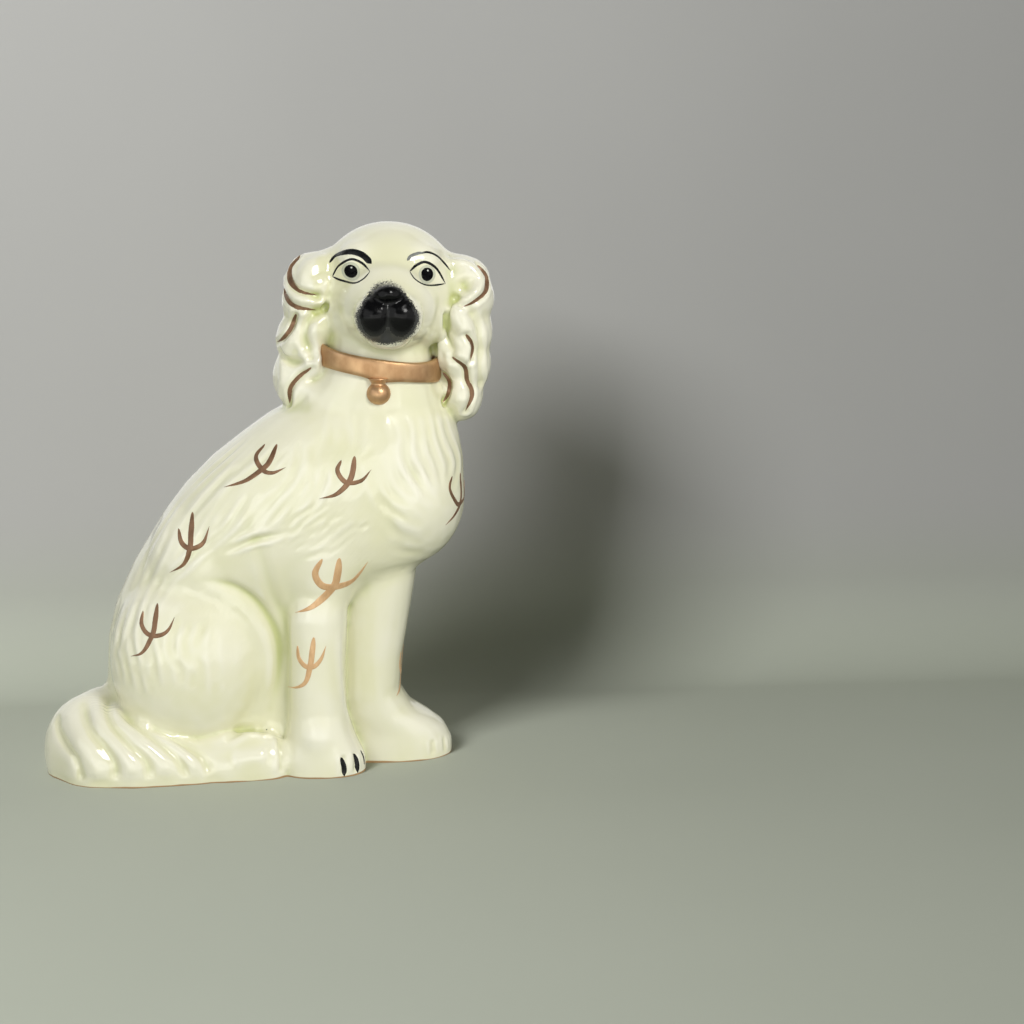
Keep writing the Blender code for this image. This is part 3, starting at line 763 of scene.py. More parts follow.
fine_hollow = hollowness(skin_points, skin_normals, net, 1.8)
broad_hollow = hollowness(skin_points, skin_normals, net, 7.0)
# One value for glaze pooled in the hollows and for the shade painted there; below zero on the crests, where a
# highlight is painted.
pool_and_shade = np.clip(fine_hollow / 0.55, -0.6, 1.0) + np.clip(broad_hollow / 2.6, -0.5, 1.0)
pool_and_shade = 0.5 * net.blurred(pool_and_shade, 1.5)
# Creases where more green is painted along drawn lines: shade between the ears, face, collar, haunch and legs,
# over the pooled glaze.
POOLED_SHADED_CREASES = (
    # stops, width, amount
    (((31, 284), (29, 272), (29, 260), (32, 246), (36, 238)), 4.2, 0.42),
    (((104, 284), (103, 270), (101, 258), (97, 244), (92, 234)), 4.2, 0.34),
    (((4, 205), (12, 203), (22, 205)), 4.0, 0.30),
    (((88, 222), (92, 212), (100, 203), (108, 199)), 3.6, 0.26),
    (((36, 216), (52, 211), (72, 208), (88, 212)), 5.0, 0.12),
    (((40, 240), (54, 232), (74, 230), (88, 236)), 5.0, 0.16),
    (HAUNCH_EDGE, 3.0, 0.20),
    (BELLY_FOLD, 4.0, 0.14),
    (((20, 126), (8, 116), (6, 96), (8, 70)), 5.0, 0.12),
    (((52, 112), (54, 96), (53, 70), (54, 40)), 3.4, 0.18),
)
for stops, width, amount in POOLED_SHADED_CREASES:
    pool_and_shade = pool_and_shade + amount * along_line(skin_points, stops, width)
pool_and_shade = np.clip(pool_and_shade, -0.3, 1.0)


def combed_share(points):
    """Where the coat is combed fine: the back, the flank and the haunch, but no leg, ear or foot."""
    x, _, z = points.T
    upper = np.clip((z - 112) / 12, 0, 1) * np.clip((198 - z) / 12, 0, 1) * np.clip((74 - x) / 18, 0, 1)
    haunch = np.clip((z - 42) / 8, 0, 1) * np.clip((120 - z) / 6, 0, 1) * np.clip((-4 - x) / 10, 0, 1)
    return np.maximum(upper, haunch)


combed = combed_share(skin_points)
# The share counts the painted shade in the hollows along with the pooled glaze.
print("glaze pools over", round(float((pool_and_shade > 0.25).mean()) * 100, 1), "% of the skin")


# %% Where the muzzle is painted
FACE_SIDE = -18.0  # mm; the face lies nearer the viewer than this
UNPAINTED = -20.0  # the depth given to every place off the muzzle


def muzzle_depth(points):
    """How far inside the painted muzzle a point is, in mm, by its place across and up. Outside is negative.

    The outline is an egg: |across|^p + |up|^p = 1, a little squarer and a third narrower above the pads.
    """
    x, z = MUZZLE_AT
    across, up = points[:, 0] - x, points[:, 2] - z
    half_width = 17.4 * (1 - 0.32 * np.clip(up / 12.0, 0, 1))
    half_height = np.where(up > 0, 17.2, 16.2)
    power = np.where(up > 0, 2.4, 2.1)
    radius = (np.abs(across / half_width) ** power + np.abs(up / half_height) ** power) ** (1 / power)
    on_face = (points[:, 1] < FACE_SIDE) & (radius < 2.5)
    return np.where(on_face, (1 - radius) * 15.0, UNPAINTED)


def pad_depth(points):
    """How far inside the two black pads or the nose a point is, in mm."""
    best = np.full(len(points), UNPAINTED)
    across, up = points[:, 0] - MUZZLE_AT[0], points[:, 2] - MUZZLE_AT[1]
    for x, z, half_x, half_z in ((-7.2, 1.2, 7.4, 10.6), (7.4, 0.8, 7.4, 10.6), (0.6, 12.0, 8.8, 6.6)):
        reach = np.hypot((across - x) / half_x, (up - z) / half_z)
        best = np.maximum(best, np.where(points[:, 1] < FACE_SIDE, (1 - reach) * 7.0, UNPAINTED))
    return best


muzzle = muzzle_depth(skin_points)
pads = pad_depth(skin_points)
print("muzzle points:", int((muzzle > 0).sum()))

# %% [markdown]
# ## One piece of skin for each piece of clay
#
# The skin is parted again along the luted joints, so every clay piece keeps its own skin. The parts share
# their border points and their normals, so no seam shows. Inside, each piece keeps the plain faces of its
# solid: the hollow, the joint faces and the foot rim.

# %% Part the skin
LEAST_PATCH = 20  # faces; a smaller loose patch joins its neighbour or is dropped
COVER, COVER_REACH = 0.7, 6.0  # mm of skin over the unseen faces, and how near the skin they are to need it


def piece_mesh(name, points, faces, material_index):
    """A mesh object from points in mm and faces, shaded smooth. A triangle's fourth point may be -1."""
    mesh = bpy.data.meshes.new(name)
    faces = [tuple(int(i) for i in face if i >= 0) for face in faces]
    mesh.from_pydata((np.asarray(points) * MM).tolist(), [], faces)
    mesh.polygons.foreach_set("material_index", np.asarray(material_index, np.int32))
    mesh.shade_smooth()
    obj = bpy.data.objects.new(name, mesh)
    bpy.context.scene.collection.objects.link(obj)
    return obj


def put_values(mesh, name, values):
    layer = mesh.attributes.new(name, "FLOAT", "POINT")
    layer.data.foreach_set("value", np.asarray(values, np.float32))


def tucked_in(points):
    """Points of the unseen faces moved until they lie at least COVER under the skin; z stays at the foot."""
    hits = [skin_tree.find_nearest(point) for point in points]
    place, normal = np.array([hit[0] for hit in hits]), np.array([hit[1] for hit in hits])
    above = ((points - place) * normal).sum(1)
    near = np.linalg.norm(points - place, axis=1) < COVER_REACH
    tucked = place - normal * COVER
    foot = points[:, 2] < FOOT_EDGE
    tucked[foot, 2] = points[foot, 2]
    return np.where(((above > -COVER) & near)[:, None], tucked, points)


def stays_under(points, tris):
    """Which triangles lie under the skin all over: seven places on each are tried."""
    under = np.ones(len(tris), bool)
    for weights in ((1, 1, 1), (4, 1, 1), (1, 4, 1), (1, 1, 4), (1, 1, 0), (0, 1, 1), (1, 0, 1)):
        w = np.array(weights, float) / sum(weights)
        places = (points[tris] * w[None, :, None]).sum(1)
        for i in np.where(under)[0]:
            spot, normal, _, _ = skin_tree.find_nearest(places[i], 5.0)
            if spot is None or places[i][2] <= FOOT_EDGE:
                continue
            under[i] = (Vector(places[i]) - spot).dot(normal) <= -0.15
    return under


quad_middles = skin_points[skin_quads].mean(1)
WORKED_REACH = 12.0  # mm; more than any place has moved since the skin was fused
nearest, _ = near_faces(quad_middles, outer_tree, WORKED_REACH)
quad_owner = outer_owner[nearest]
hidden = ~seen
for number in range(len(GLAZED)):
    mine = np.where(quad_owner == number)[0]
    for quad in mine[~in_big_patch(len(skin_points), skin_quads[mine], LEAST_PATCH)]:
        beside = np.isin(skin_quads, skin_quads[quad]).any(1) & (quad_owner != number)
        quad_owner[quad] = np.bincount(quad_owner[beside]).argmax()


def part_of_skin(number, name):
    """The skin over one clay piece, with the unseen faces of its solid as the second material."""
    points, quads = kept(skin_points, skin_quads, quad_owner == number)
    used = np.unique(skin_quads[quad_owner == number])
    inner = all_tris[hidden & (all_owner == number)]
    inner_used, inner_tris = np.unique(inner, return_inverse=True)
    inner_tris = inner_tris.reshape(-1, 3) + len(points)
    inner_points = tucked_in(all_points[inner_used])
    under = stays_under(inner_points, inner_tris - len(points))
    inner, inner_tris = inner[under], inner_tris[under]
    _, place = np.unique(np.round(inner_points, 3), axis=0, return_inverse=True)
    big = in_big_patch(len(inner_points), place.ravel()[inner_tris - len(points)], LEAST_PATCH)
    inner, inner_tris = inner[big], inner_tris[big]
    faces = np.concatenate([quads, np.concatenate([inner_tris, np.full((len(inner_tris), 1), -1)], 1)])
    painted = (muzzle[used][quads].min(1) > 2.0) & (pads[used][quads].min(1) > -1.5)
    index = np.concatenate([np.where(painted, 2, 0), np.ones(len(inner_tris))])
    obj = piece_mesh(name, np.concatenate([points, inner_points]), faces, index)
    _, flat = face_centres_normals(all_points, inner)
    inner_normals = np.zeros((len(inner_points), 3))
    for k in range(3):
        np.add.at(inner_normals, inner_tris[:, k] - len(points), flat)
    inner_normals /= np.maximum(np.linalg.norm(inner_normals, axis=1, keepdims=True), 1e-9)
    shading = np.concatenate([skin_normals[used], inner_normals])
    obj.data.normals_split_custom_set_from_vertices(shading.tolist())
    # The first value carries pooled glaze together with painted shade in the hollows and a painted highlight on
    # the crests.
    for label, values, plain in (
        ("pool_and_shade", pool_and_shade, 0.0), ("combed", combed, 0.0), ("muzzle", muzzle, UNPAINTED), ("pads", pads, UNPAINTED)
    ):
        put_values(obj.data, label, np.concatenate([values[used], np.full(len(inner_points), plain)]))
    return obj


skins = {}
for number, name in enumerate(GLAZED):
    skin = part_of_skin(number, f"{name}_skin")
    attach(skin, "root")
    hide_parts(name)
    skins[name] = skin
print("skins:", {name: len(skin.data.polygons) for name, skin in skins.items()})

# %% [markdown]
# ## Materials: shared effects
#
# Three effects are node groups built once: a slow drift of tone and the streaks that a comb or a loaded brush
# leaves, which come back in several finishes, and the fine orange-peel and pinholes of fired glaze.

# %% Node helpers
def new_group(name, inputs, outputs):
    """An empty node group with named sockets: inputs as (name, type, value), outputs as (name, type)."""
    group = bpy.data.node_groups.new(name, "ShaderNodeTree")
    for label, kind, value in inputs:
        socket = group.interface.new_socket(label, in_out="INPUT", socket_type=kind)
        socket.default_value = value
    for label, kind in outputs:
        group.interface.new_socket(label, in_out="OUTPUT", socket_type=kind)
    return group, group.nodes.new("NodeGroupInput"), group.nodes.new("NodeGroupOutput")


def feed(tree, made, links):
    """Links or sets the inputs of a node: links are (socket, value or output)."""
    for socket, value in links:
        if isinstance(value, bpy.types.NodeSocket):
            tree.links.new(value, made.inputs[socket])
        else:
            made.inputs[socket].default_value = value
    return made


def node(tree, kind, links=(), **settings):
    """A node with its settings and its inputs fed."""
    made = tree.nodes.new(kind)
    for key, value in settings.items():
        setattr(made, key, value)
    return feed(tree, made, links)


def between(tree, value, low, high, to_low=0.0, to_high=1.0):
    """value mapped smoothly from low..high to to_low..to_high."""
    made = node(tree, "ShaderNodeMapRange", [(0, value), (1, low), (2, high), (3, to_low), (4, to_high)])
    made.interpolation_type = "SMOOTHSTEP"
    return made.outputs[0]


def blend_colour(tree, share, first, second):
    """The first colour at share 0, the second at 1."""
    return node(tree, "ShaderNodeMix", [(0, share), (6, first), (7, second)], data_type="RGBA").outputs[2]


def maths(tree, operation, *values):
    return node(tree, "ShaderNodeMath", list(enumerate(values)), operation=operation).outputs[0]


# %% Shared effects
def make_drift():
    """Slow drift of tone: two sizes of soft noise added, put out as 0 to 1."""
    group, given, out = new_group(
        "slow_drift",
        [("Vector", "NodeSocketVector", (0, 0, 0)), ("Size", "NodeSocketFloat", 40.0)],
        [("Value", "NodeSocketFloat")],
    )
    noise = node(group, "ShaderNodeTexNoise", [("Vector", given.outputs[0]), ("Scale", given.outputs[1])])
    noise.inputs["Detail"].default_value = 3.0
    group.links.new(between(group, noise.outputs[0], 0.3, 0.7), out.inputs[0])
    return group


def make_glaze_skin():
    """Fired glaze: the height of a shallow orange-peel with sparse pinholes."""
    group, given, out = new_group(
        "glaze_surface",
        [("Vector", "NodeSocketVector", (0, 0, 0)), ("Peel Scale", "NodeSocketFloat", 260.0)],
        [("Height", "NodeSocketFloat")],
    )
    peel = node(group, "ShaderNodeTexNoise", [("Vector", given.outputs[0]), ("Scale", given.outputs[1])])
    peel.inputs["Detail"].default_value = 1.0
    cells = node(group, "ShaderNodeTexVoronoi", [("Vector", given.outputs[0]), ("Scale", 150.0)])
    spots = between(group, cells.outputs["Distance"], 0.035, 0.075, 1.0, 0.0)
    pick = node(group, "ShaderNodeSeparateColor", [(0, cells.outputs["Color"])])
    few = between(group, pick.outputs[0], 0.80, 0.84)
    holes = maths(group, "MULTIPLY", spots, few)
    height = maths(group, "SUBTRACT", peel.outputs[0], maths(group, "MULTIPLY", holes, 0.5))
    group.links.new(height, out.inputs[0])
    return group


def make_streaks():
    """Streaks: noise over a vector that the material has already stretched, put out as 0 to 1."""
    group, given, out = new_group(
        "brush_streaks",
        [("Vector", "NodeSocketVector", (0, 0, 0)), ("Scale", "NodeSocketFloat", 1.0)],
        [("Value", "NodeSocketFloat")],
    )
    noise = node(group, "ShaderNodeTexNoise", [("Vector", given.outputs[0]), ("Scale", given.outputs[1])])
    noise.inputs["Detail"].default_value = 4.0
    group.links.new(between(group, noise.outputs[0], 0.32, 0.68), out.inputs[0])
    return group


DRIFT, GLAZE, STREAKS = make_drift(), make_glaze_skin(), make_streaks()


def placed(tree, group, *values):
    """One of the shared groups in a material, with its own values."""
    return node(tree, "ShaderNodeGroup", list(enumerate(values)), node_tree=group)


def bumped(tree, shader, height, strength, distance):
    """Feeds a height to the shader's normal through a bump."""
    bump = node(tree, "ShaderNodeBump", [("Height", height), ("Strength", strength), ("Distance", distance)])
    tree.links.new(bump.outputs[0], shader.inputs["Normal"])


def new_material(name):
    material = bpy.data.materials.new(name)
    material.use_nodes = True
    return material, material.node_tree, material.node_tree.nodes["Principled BSDF"]


def place_vector(tree, scale=(1, 1, 1)):
    """Object coordinates, scaled."""
    coordinates = node(tree, "ShaderNodeTexCoord").outputs["Object"]
    return node(tree, "ShaderNodeMapping", [("Vector", coordinates), ("Scale", scale)]).outputs[0]


def value_of(tree, attribute):
    return node(tree, "ShaderNodeAttribute", attribute_name=attribute).outputs["Fac"]


print("groups:", [group.name for group in bpy.data.node_groups])

# %% [markdown]
# ## Cream glaze and the painted muzzle
#
# The body is a warm off-white under a clear, faintly green lead-type glaze. The green comes up in the hollows
# as pooled glaze and as painted shade, the crests are painted palest as a highlight where the glaze runs thin,
# and a slow drift keeps big areas from being one flat tone.
# The muzzle is black enamel stippled on with a soft brush: its edge is the depth value broken up by fine
# noise, dark grey where the coat is thin and full black on the pads and the nose.

# %% Cream glaze
def make_cream_glaze():
    material, tree, shader = new_material("cream_glaze")
    at = place_vector(tree)
    drift = placed(tree, DRIFT, at, 26.0).outputs[0]
    pool_and_shade_value = value_of(tree, "pool_and_shade")
    wander = maths(tree, "MULTIPLY", maths(tree, "SUBTRACT", drift, 0.5), 0.16)
    # Thick glaze in the hollows, and painted shade there: the colour turns a deeper green.
    thick = between(tree, maths(tree, "ADD", pool_and_shade_value, wander), 0.02, 0.85, 0.0, 0.85)
    body = blend_colour(tree, drift, (0.735, 0.725, 0.505, 1), (0.780, 0.765, 0.600, 1))
    glazed = blend_colour(tree, thick, body, (0.50, 0.54, 0.21, 1))
    # Painted highlight: the crests turn paler and whiter, where the glaze also runs thin.
    thin_glaze_and_highlight = between(tree, pool_and_shade_value, -0.22, 0.0, 0.6, 0.0)
    glazed = blend_colour(tree, thin_glaze_and_highlight, glazed, (0.83, 0.815, 0.70, 1))

    up = node(tree, "ShaderNodeSeparateXYZ", [(0, at)]).outputs[2]
    glaze_line = maths(tree, "SUBTRACT", up, maths(tree, "MULTIPLY", drift, 0.0009))
    foot = between(tree, glaze_line, 0.0001, 0.0006, 1.0, 0.0)
    glazed = blend_colour(tree, foot, glazed, (0.36, 0.22, 0.10, 1))

    fuzz = node(tree, "ShaderNodeTexNoise", [("Vector", at), ("Scale", 1100.0), ("Detail", 3.0)])
    fuzz_mm = maths(tree, "MULTIPLY", maths(tree, "SUBTRACT", fuzz.outputs[0], 0.5), 5.5)
    depth = maths(tree, "ADD", value_of(tree, "muzzle"), fuzz_mm)
    paint = between(tree, depth, -0.6, 0.9)
    pad_place = maths(tree, "ADD", value_of(tree, "pads"), maths(tree, "MULTIPLY", fuzz_mm, 0.4))
    full = between(tree, pad_place, -1.2, 1.4)
    black = blend_colour(tree, full, (0.034, 0.035, 0.034, 1), (0.0022, 0.0022, 0.0024, 1))
    colour = blend_colour(tree, paint, glazed, black)

    surface = placed(tree, GLAZE, at, 210.0)
    glaze_rough = between(tree, drift, 0.0, 1.0, 0.12, 0.19)
    dry_paint = maths(tree, "MULTIPLY", paint, maths(tree, "SUBTRACT", 1.0, full))
    rough = maths(tree, "ADD", glaze_rough, maths(tree, "MULTIPLY", dry_paint, 0.35))
    rough = maths(tree, "ADD", rough, maths(tree, "MULTIPLY", full, 0.12))
    coat = maths(tree, "SUBTRACT", 0.5, maths(tree, "MULTIPLY", paint, 0.42))
    finish = [("Base Color", colour), ("Roughness", rough), ("Coat Weight", coat), ("Coat Roughness", 0.05)]
    feed(tree, shader, finish)

    # The combing: streaks 1/80 m long and far narrower, turned to slope down the back.
    sloped = [("Vector", at), ("Rotation", (0.0, math.radians(41), 0.0)), ("Scale", (1 / 620, 1 / 400, 1 / 80))]
    hair = node(tree, "ShaderNodeMapping", vector_type="TEXTURE")
    strokes = placed(tree, STREAKS, feed(tree, hair, sloped).outputs[0], 1.0).outputs[0]
    combing = maths(tree, "MULTIPLY", maths(tree, "MULTIPLY", strokes, value_of(tree, "combed")), 1.4)
    bumped(tree, shader, maths(tree, "ADD", surface.outputs[0], combing), 0.10, 0.0004)
    return material


def make_muzzle_black():
    """The full coat of black on the pads and the nose: glossy, with slow dips where it was stippled."""
    material, tree, shader = new_material("muzzle_black")
    at = place_vector(tree)
    dips = node(tree, "ShaderNodeTexNoise", [("Vector", at), ("Scale", 420.0), ("Detail", 2.0)]).outputs[0]
    grey = between(tree, value_of(tree, "pads"), -1.5, 1.6, 1.0, 0.0)
    colour = blend_colour(tree, grey, (0.0022, 0.0022, 0.0026, 1), (0.026, 0.027, 0.026, 1))
    rough = between(tree, dips, 0.3, 0.7, 0.15, 0.27)
    feed(tree, shader, [("Base Color", colour), ("Roughness", rough), ("Specular IOR Level", 0.20)])
    bumped(tree, shader, dips, 0.12, 0.0005)
    return material


def make_biscuit():
    """Unglazed clay: matt, slowly uneven in tone, with a fine dark grain."""
    material, tree, shader = new_material("bare_biscuit")
    at = place_vector(tree)
    drift = placed(tree, DRIFT, at, 60.0).outputs[0]
    grain = node(tree, "ShaderNodeTexNoise", [("Vector", at), ("Scale", 1400.0), ("Detail", 4.0)]).outputs[0]
    colour = blend_colour(tree, drift, (0.62, 0.50, 0.34, 1), (0.72, 0.64, 0.48, 1))
    colour = blend_colour(tree, between(tree, grain, 0.5, 0.8, 0.0, 0.35), colour, (0.42, 0.30, 0.18, 1))
    feed(tree, shader, [("Base Color", colour), ("Roughness", between(tree, grain, 0.2, 0.8, 0.7, 0.95))])
    bumped(tree, shader, grain, 0.3, 0.0003)
    return material


CREAM, BISCUIT, MUZZLE_BLACK = make_cream_glaze(), make_biscuit(), make_muzzle_black()
for name, skin in skins.items():
    skin.data.materials.append(CREAM)
    skin.data.materials.append(BISCUIT)
    if name == "head_front_shell":
        skin.data.materials.append(MUZZLE_BLACK)
slab = frame["nodes"]["base_slab"]
slab.data.materials.clear()
slab.data.materials.append(BISCUIT)
print("glazed and bare clay ready")

# %% [markdown]
# ## Collar and locket
#
# The collar is a strap of clay laid round the neck over the joint, with a slight ridge at each edge, and the
# locket is a drop hung from its lower edge. The strap is one profile carried round the neck: the path is read
# off the neck, and the profile is a low flat arch. The drop is a turned profile.

# %% A profile carried along a path
def grid_piece(name, grid, wrap_u=False, wrap_v=False):
    """A mesh object from a grid of points (rows, columns, 3) in mm, joined with quads."""
    rows, columns = grid.shape[:2]
    u = np.arange(rows if wrap_u else rows - 1)[:, None]
    v = np.arange(columns if wrap_v else columns - 1)[None, :]
    u2, v2 = (u + 1) % rows, (v + 1) % columns
    faces = np.stack([u * columns + v, u2 * columns + v, u2 * columns + v2, u * columns + v2], -1)
    faces = faces.reshape(-1, 4)
    return piece_mesh(name, grid.reshape(-1, 3), faces, np.zeros(len(faces)))


def outward(obj):
    """Welds doubles and turns every face out."""
    work = bmesh.new()
    work.from_mesh(obj.data)
    bmesh.ops.remove_doubles(work, verts=work.verts, dist=1e-6)
    bmesh.ops.recalc_face_normals(work, faces=work.faces)
    work.to_mesh(obj.data)
    work.free()
    obj.data.shade_smooth()
    return obj


collar_points, _ = triangles_of(frame["nodes"]["collar"])
FRONT = -math.pi / 2  # the turn round the neck that faces the viewer


def turn_gap(turns, turn):
    """How far each turn is from another, in radians, the short way round."""
    return np.abs(np.angle(np.exp(1j * (turns - turn))))


def band_plane(points):
    """The middle of the strap and its slopes: height = c + a x + b y, fitted through its points."""
    rows = np.column_stack([np.ones(len(points)), points[:, 0], points[:, 1]])
    return np.linalg.lstsq(rows, points[:, 2], rcond=None)[0]


def wall_radius(turns, centre):
    """The radius of the strap's outer wall at each turn, smoothed round the neck."""
    flat = collar_points[:, :2] - centre[:2]
    angle, radius = np.arctan2(flat[:, 1], flat[:, 0]), np.hypot(flat[:, 0], flat[:, 1])
    bins = np.linspace(-math.pi, math.pi, 61)
    wall = np.array([radius[turn_gap(angle, turn) < 0.09].max() for turn in bins])
    for _ in range(3):
        wall = (np.roll(wall[:-1], 1) + 2 * wall[:-1] + np.roll(wall[:-1], -1)) / 4
        wall = np.append(wall, wall[0])
    return np.interp(turns, bins, wall)


def make_collar(width=10.6, thickness=2.7):
    """The strap: a closed section, carried once round the neck.

    Section, for across from -1 to 1: a face at thickness times (0.42 sqrt(1 - 0.96 across^4) - 0.40), closed by
    a flat back one thickness inside. The strap is about a quarter wider where it meets the ears, and its lower
    edge dips by 1.6 mm over the locket.
    """
    centre = (collar_points.min(0) + collar_points.max(0)) / 2
    turns = np.linspace(-math.pi, math.pi, 181)[:-1]
    across = np.linspace(-1, 1, 15)
    out = np.concatenate([thickness * (0.42 * np.sqrt(1 - 0.96 * across**4) - 0.40), [-thickness, -thickness]])
    place = np.concatenate([across, [0.96, -0.96]])
    at_left_ear, at_right_ear = (bell(turn_gap(turns, math.radians(place)), 0.34) for place in (-22, -160))
    flare = 1 + 0.24 * at_left_ear + 0.22 * at_right_ear
    dip = 1.6 * bell(turn_gap(turns, FRONT), 0.22)
    rise = flare[:, None] * place[None, :] * width / 2 - dip[:, None] * np.clip(-place, 0, 1)[None, :] ** 2
    reach = wall_radius(turns, centre)[:, None] + out[None, :]
    x, y = centre[0] + reach * np.cos(turns)[:, None], centre[1] + reach * np.sin(turns)[:, None]
    c, a, b = band_plane(collar_points)
    strap = np.stack([x, y, c + a * x + b * y + rise], -1)
    return outward(grid_piece("collar_strap", strap, wrap_u=True, wrap_v=True))


def make_locket():
    """The drop: a turned profile, round below, drawn in to a thick stem that spreads again into the strap.

    Radius at height h, 0 at the bottom and 1 at the top: sqrt(1 - (h / 0.43 - 1)^2), never less than
    0.56 + 0.3 ((h - 0.74) / 0.26)^2 above the shoulder.
    """
    low, high = corners("locket")
    centre, size = (low + high) / 2, high - low
    h = np.concatenate([0.43 * (1 - np.cos(np.linspace(0, math.pi / 2, 12))), np.linspace(0.45, 1, 18), [1.0]])
    ball = np.sqrt(np.clip(1 - (h / 0.43 - 1) ** 2, 0, 1))
    stem = 0.56 + 0.30 * np.clip((h - 0.74) / 0.26, 0, 1) ** 2
    blend = np.clip((h - 0.5) / 0.3, 0, 1)
    radius = ball * (1 - blend) + np.maximum(ball, stem) * blend
    radius[-1] = 0.0
    turns = np.linspace(0, 2 * math.pi, 49)[:-1]
    x = centre[0] + radius[:, None] * np.cos(turns) * (size[0] / 2 + 0.1)
    y = high[1] + radius[:, None] * np.sin(turns) * (size[1] + 0.2) * np.where(np.sin(turns) < 0, 1.0, 0.25)
    z = low[2] - 1.4 + h[:, None] * (size[2] - 0.6) + np.zeros(len(turns))
    return outward(grid_piece("locket_drop", np.stack([x, y, z], -1), wrap_v=True))


collar, locket = make_collar(), make_locket()
for piece, replaced in ((collar, "collar"), (locket, "locket")):
    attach(piece, "root")
    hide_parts(replaced)
print("collar and locket:", np.round(corners("collar")[1] - corners("collar")[0], 1), "mm round the neck")

# %% [markdown]
# ## Gilding and painting
#
# Each stroke is a ribbon: its path is drawn over the figure and dropped onto the glaze, its section is a thin
# crowned film, and its width swells from the point where the brush lands and tapers where it lifts.

# %% A brush stroke on the skin
def settle_on_skin(points, lift):
    """Points moved to the nearest place on the skin, then lifted off along its normal."""
    flat, rise = points.reshape(-1, 3), np.broadcast_to(lift, points.shape[:-1]).ravel()
    hits = [skin_tree.find_nearest(point) for point in flat]
    place = np.array([hit[0] for hit in hits]) + np.array([hit[1] for hit in hits]) * rise[:, None]
    return place.reshape(points.shape)


def stroke_grid(stops, width, azimuth=0.0, taper=(0.25, 0.35), film=0.20):
    """The grid of one stroke: rows along it, eleven points across, the film thickest in its middle.

    Half-width along the stroke, for a share t of its length: w sqrt(1 - (1 - t/a)^2) up to a, then w, then
    w (1 - (1 - (1 - t)/b)^2) over b at the other end, where a and b are the tapers.
    """
    line, normals = dropped(curve_through(stops, 0.6), azimuth)
    along = np.gradient(line, axis=0)
    along /= np.maximum(np.linalg.norm(along, axis=1, keepdims=True), 1e-9)
    side = np.cross(normals, along)
    side /= np.maximum(np.linalg.norm(side, axis=1, keepdims=True), 1e-9)
    for _ in range(4):
        side[1:-1] = (side[:-2] + 2 * side[1:-1] + side[2:]) / 4
        side /= np.linalg.norm(side, axis=1, keepdims=True)
    t = np.linspace(0, 1, len(line))
    land, leave = np.clip(1 - t / taper[0], 0, 1), np.clip(1 - (1 - t) / taper[1], 0, 1)
    half = width / 2 * np.clip(np.sqrt(1 - land**2) * (1 - leave**2), 0.05, 1)
    across = np.linspace(-1, 1, 11)
    grid = line[:, None, :] + side[:, None, :] * (half[:, None] * across)[:, :, None]
    return settle_on_skin(grid, 0.02 + film * (1 - across**8)[None, :] * np.ones((len(line), 1)))


def strokes_piece(name, grids):
    """Several strokes as one mesh, with the place across each as U and the run along it as V, in mm."""
    points, faces, uvs, start = [], [], [], 0
    for grid in grids:
        rows, columns = grid.shape[:2]
        u, v = np.meshgrid(np.arange(rows - 1), np.arange(columns - 1), indexing="ij")
        first = start + u * columns + v
        faces.append(np.stack([first, first + 1, first + columns + 1, first + columns], -1).reshape(-1, 4))
        run = np.cumsum(np.r_[0, np.linalg.norm(np.diff(grid[:, columns // 2], axis=0), axis=1)])
        uv = np.stack(np.broadcast_arrays(np.linspace(0, 1, columns)[None, :], run[:, None] + start * 0.13), -1)
        uvs.append(uv.reshape(-1, 2))
        points.append(grid.reshape(-1, 3))
        start += rows * columns
    points, faces, uvs = np.concatenate(points), np.concatenate(faces), np.concatenate(uvs)
    middles, face_normals = face_centres_normals(points, faces[:, :3])
    skin_side = np.array([skin_tree.find_nearest(middle)[1] for middle in middles])
    inward = (face_normals * skin_side).sum(1) < 0
    faces[inward] = faces[inward][:, ::-1]
    obj = piece_mesh(name, points, faces, np.zeros(len(faces)))
    layer = obj.data.uv_layers.new(name="run")
    order = np.empty(len(obj.data.loops), np.int32)
    obj.data.loops.foreach_get("vertex_index", order)
    layer.data.foreach_set("uv", uvs[order].astype(np.float32).ravel())
    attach(obj, "root")
    return obj

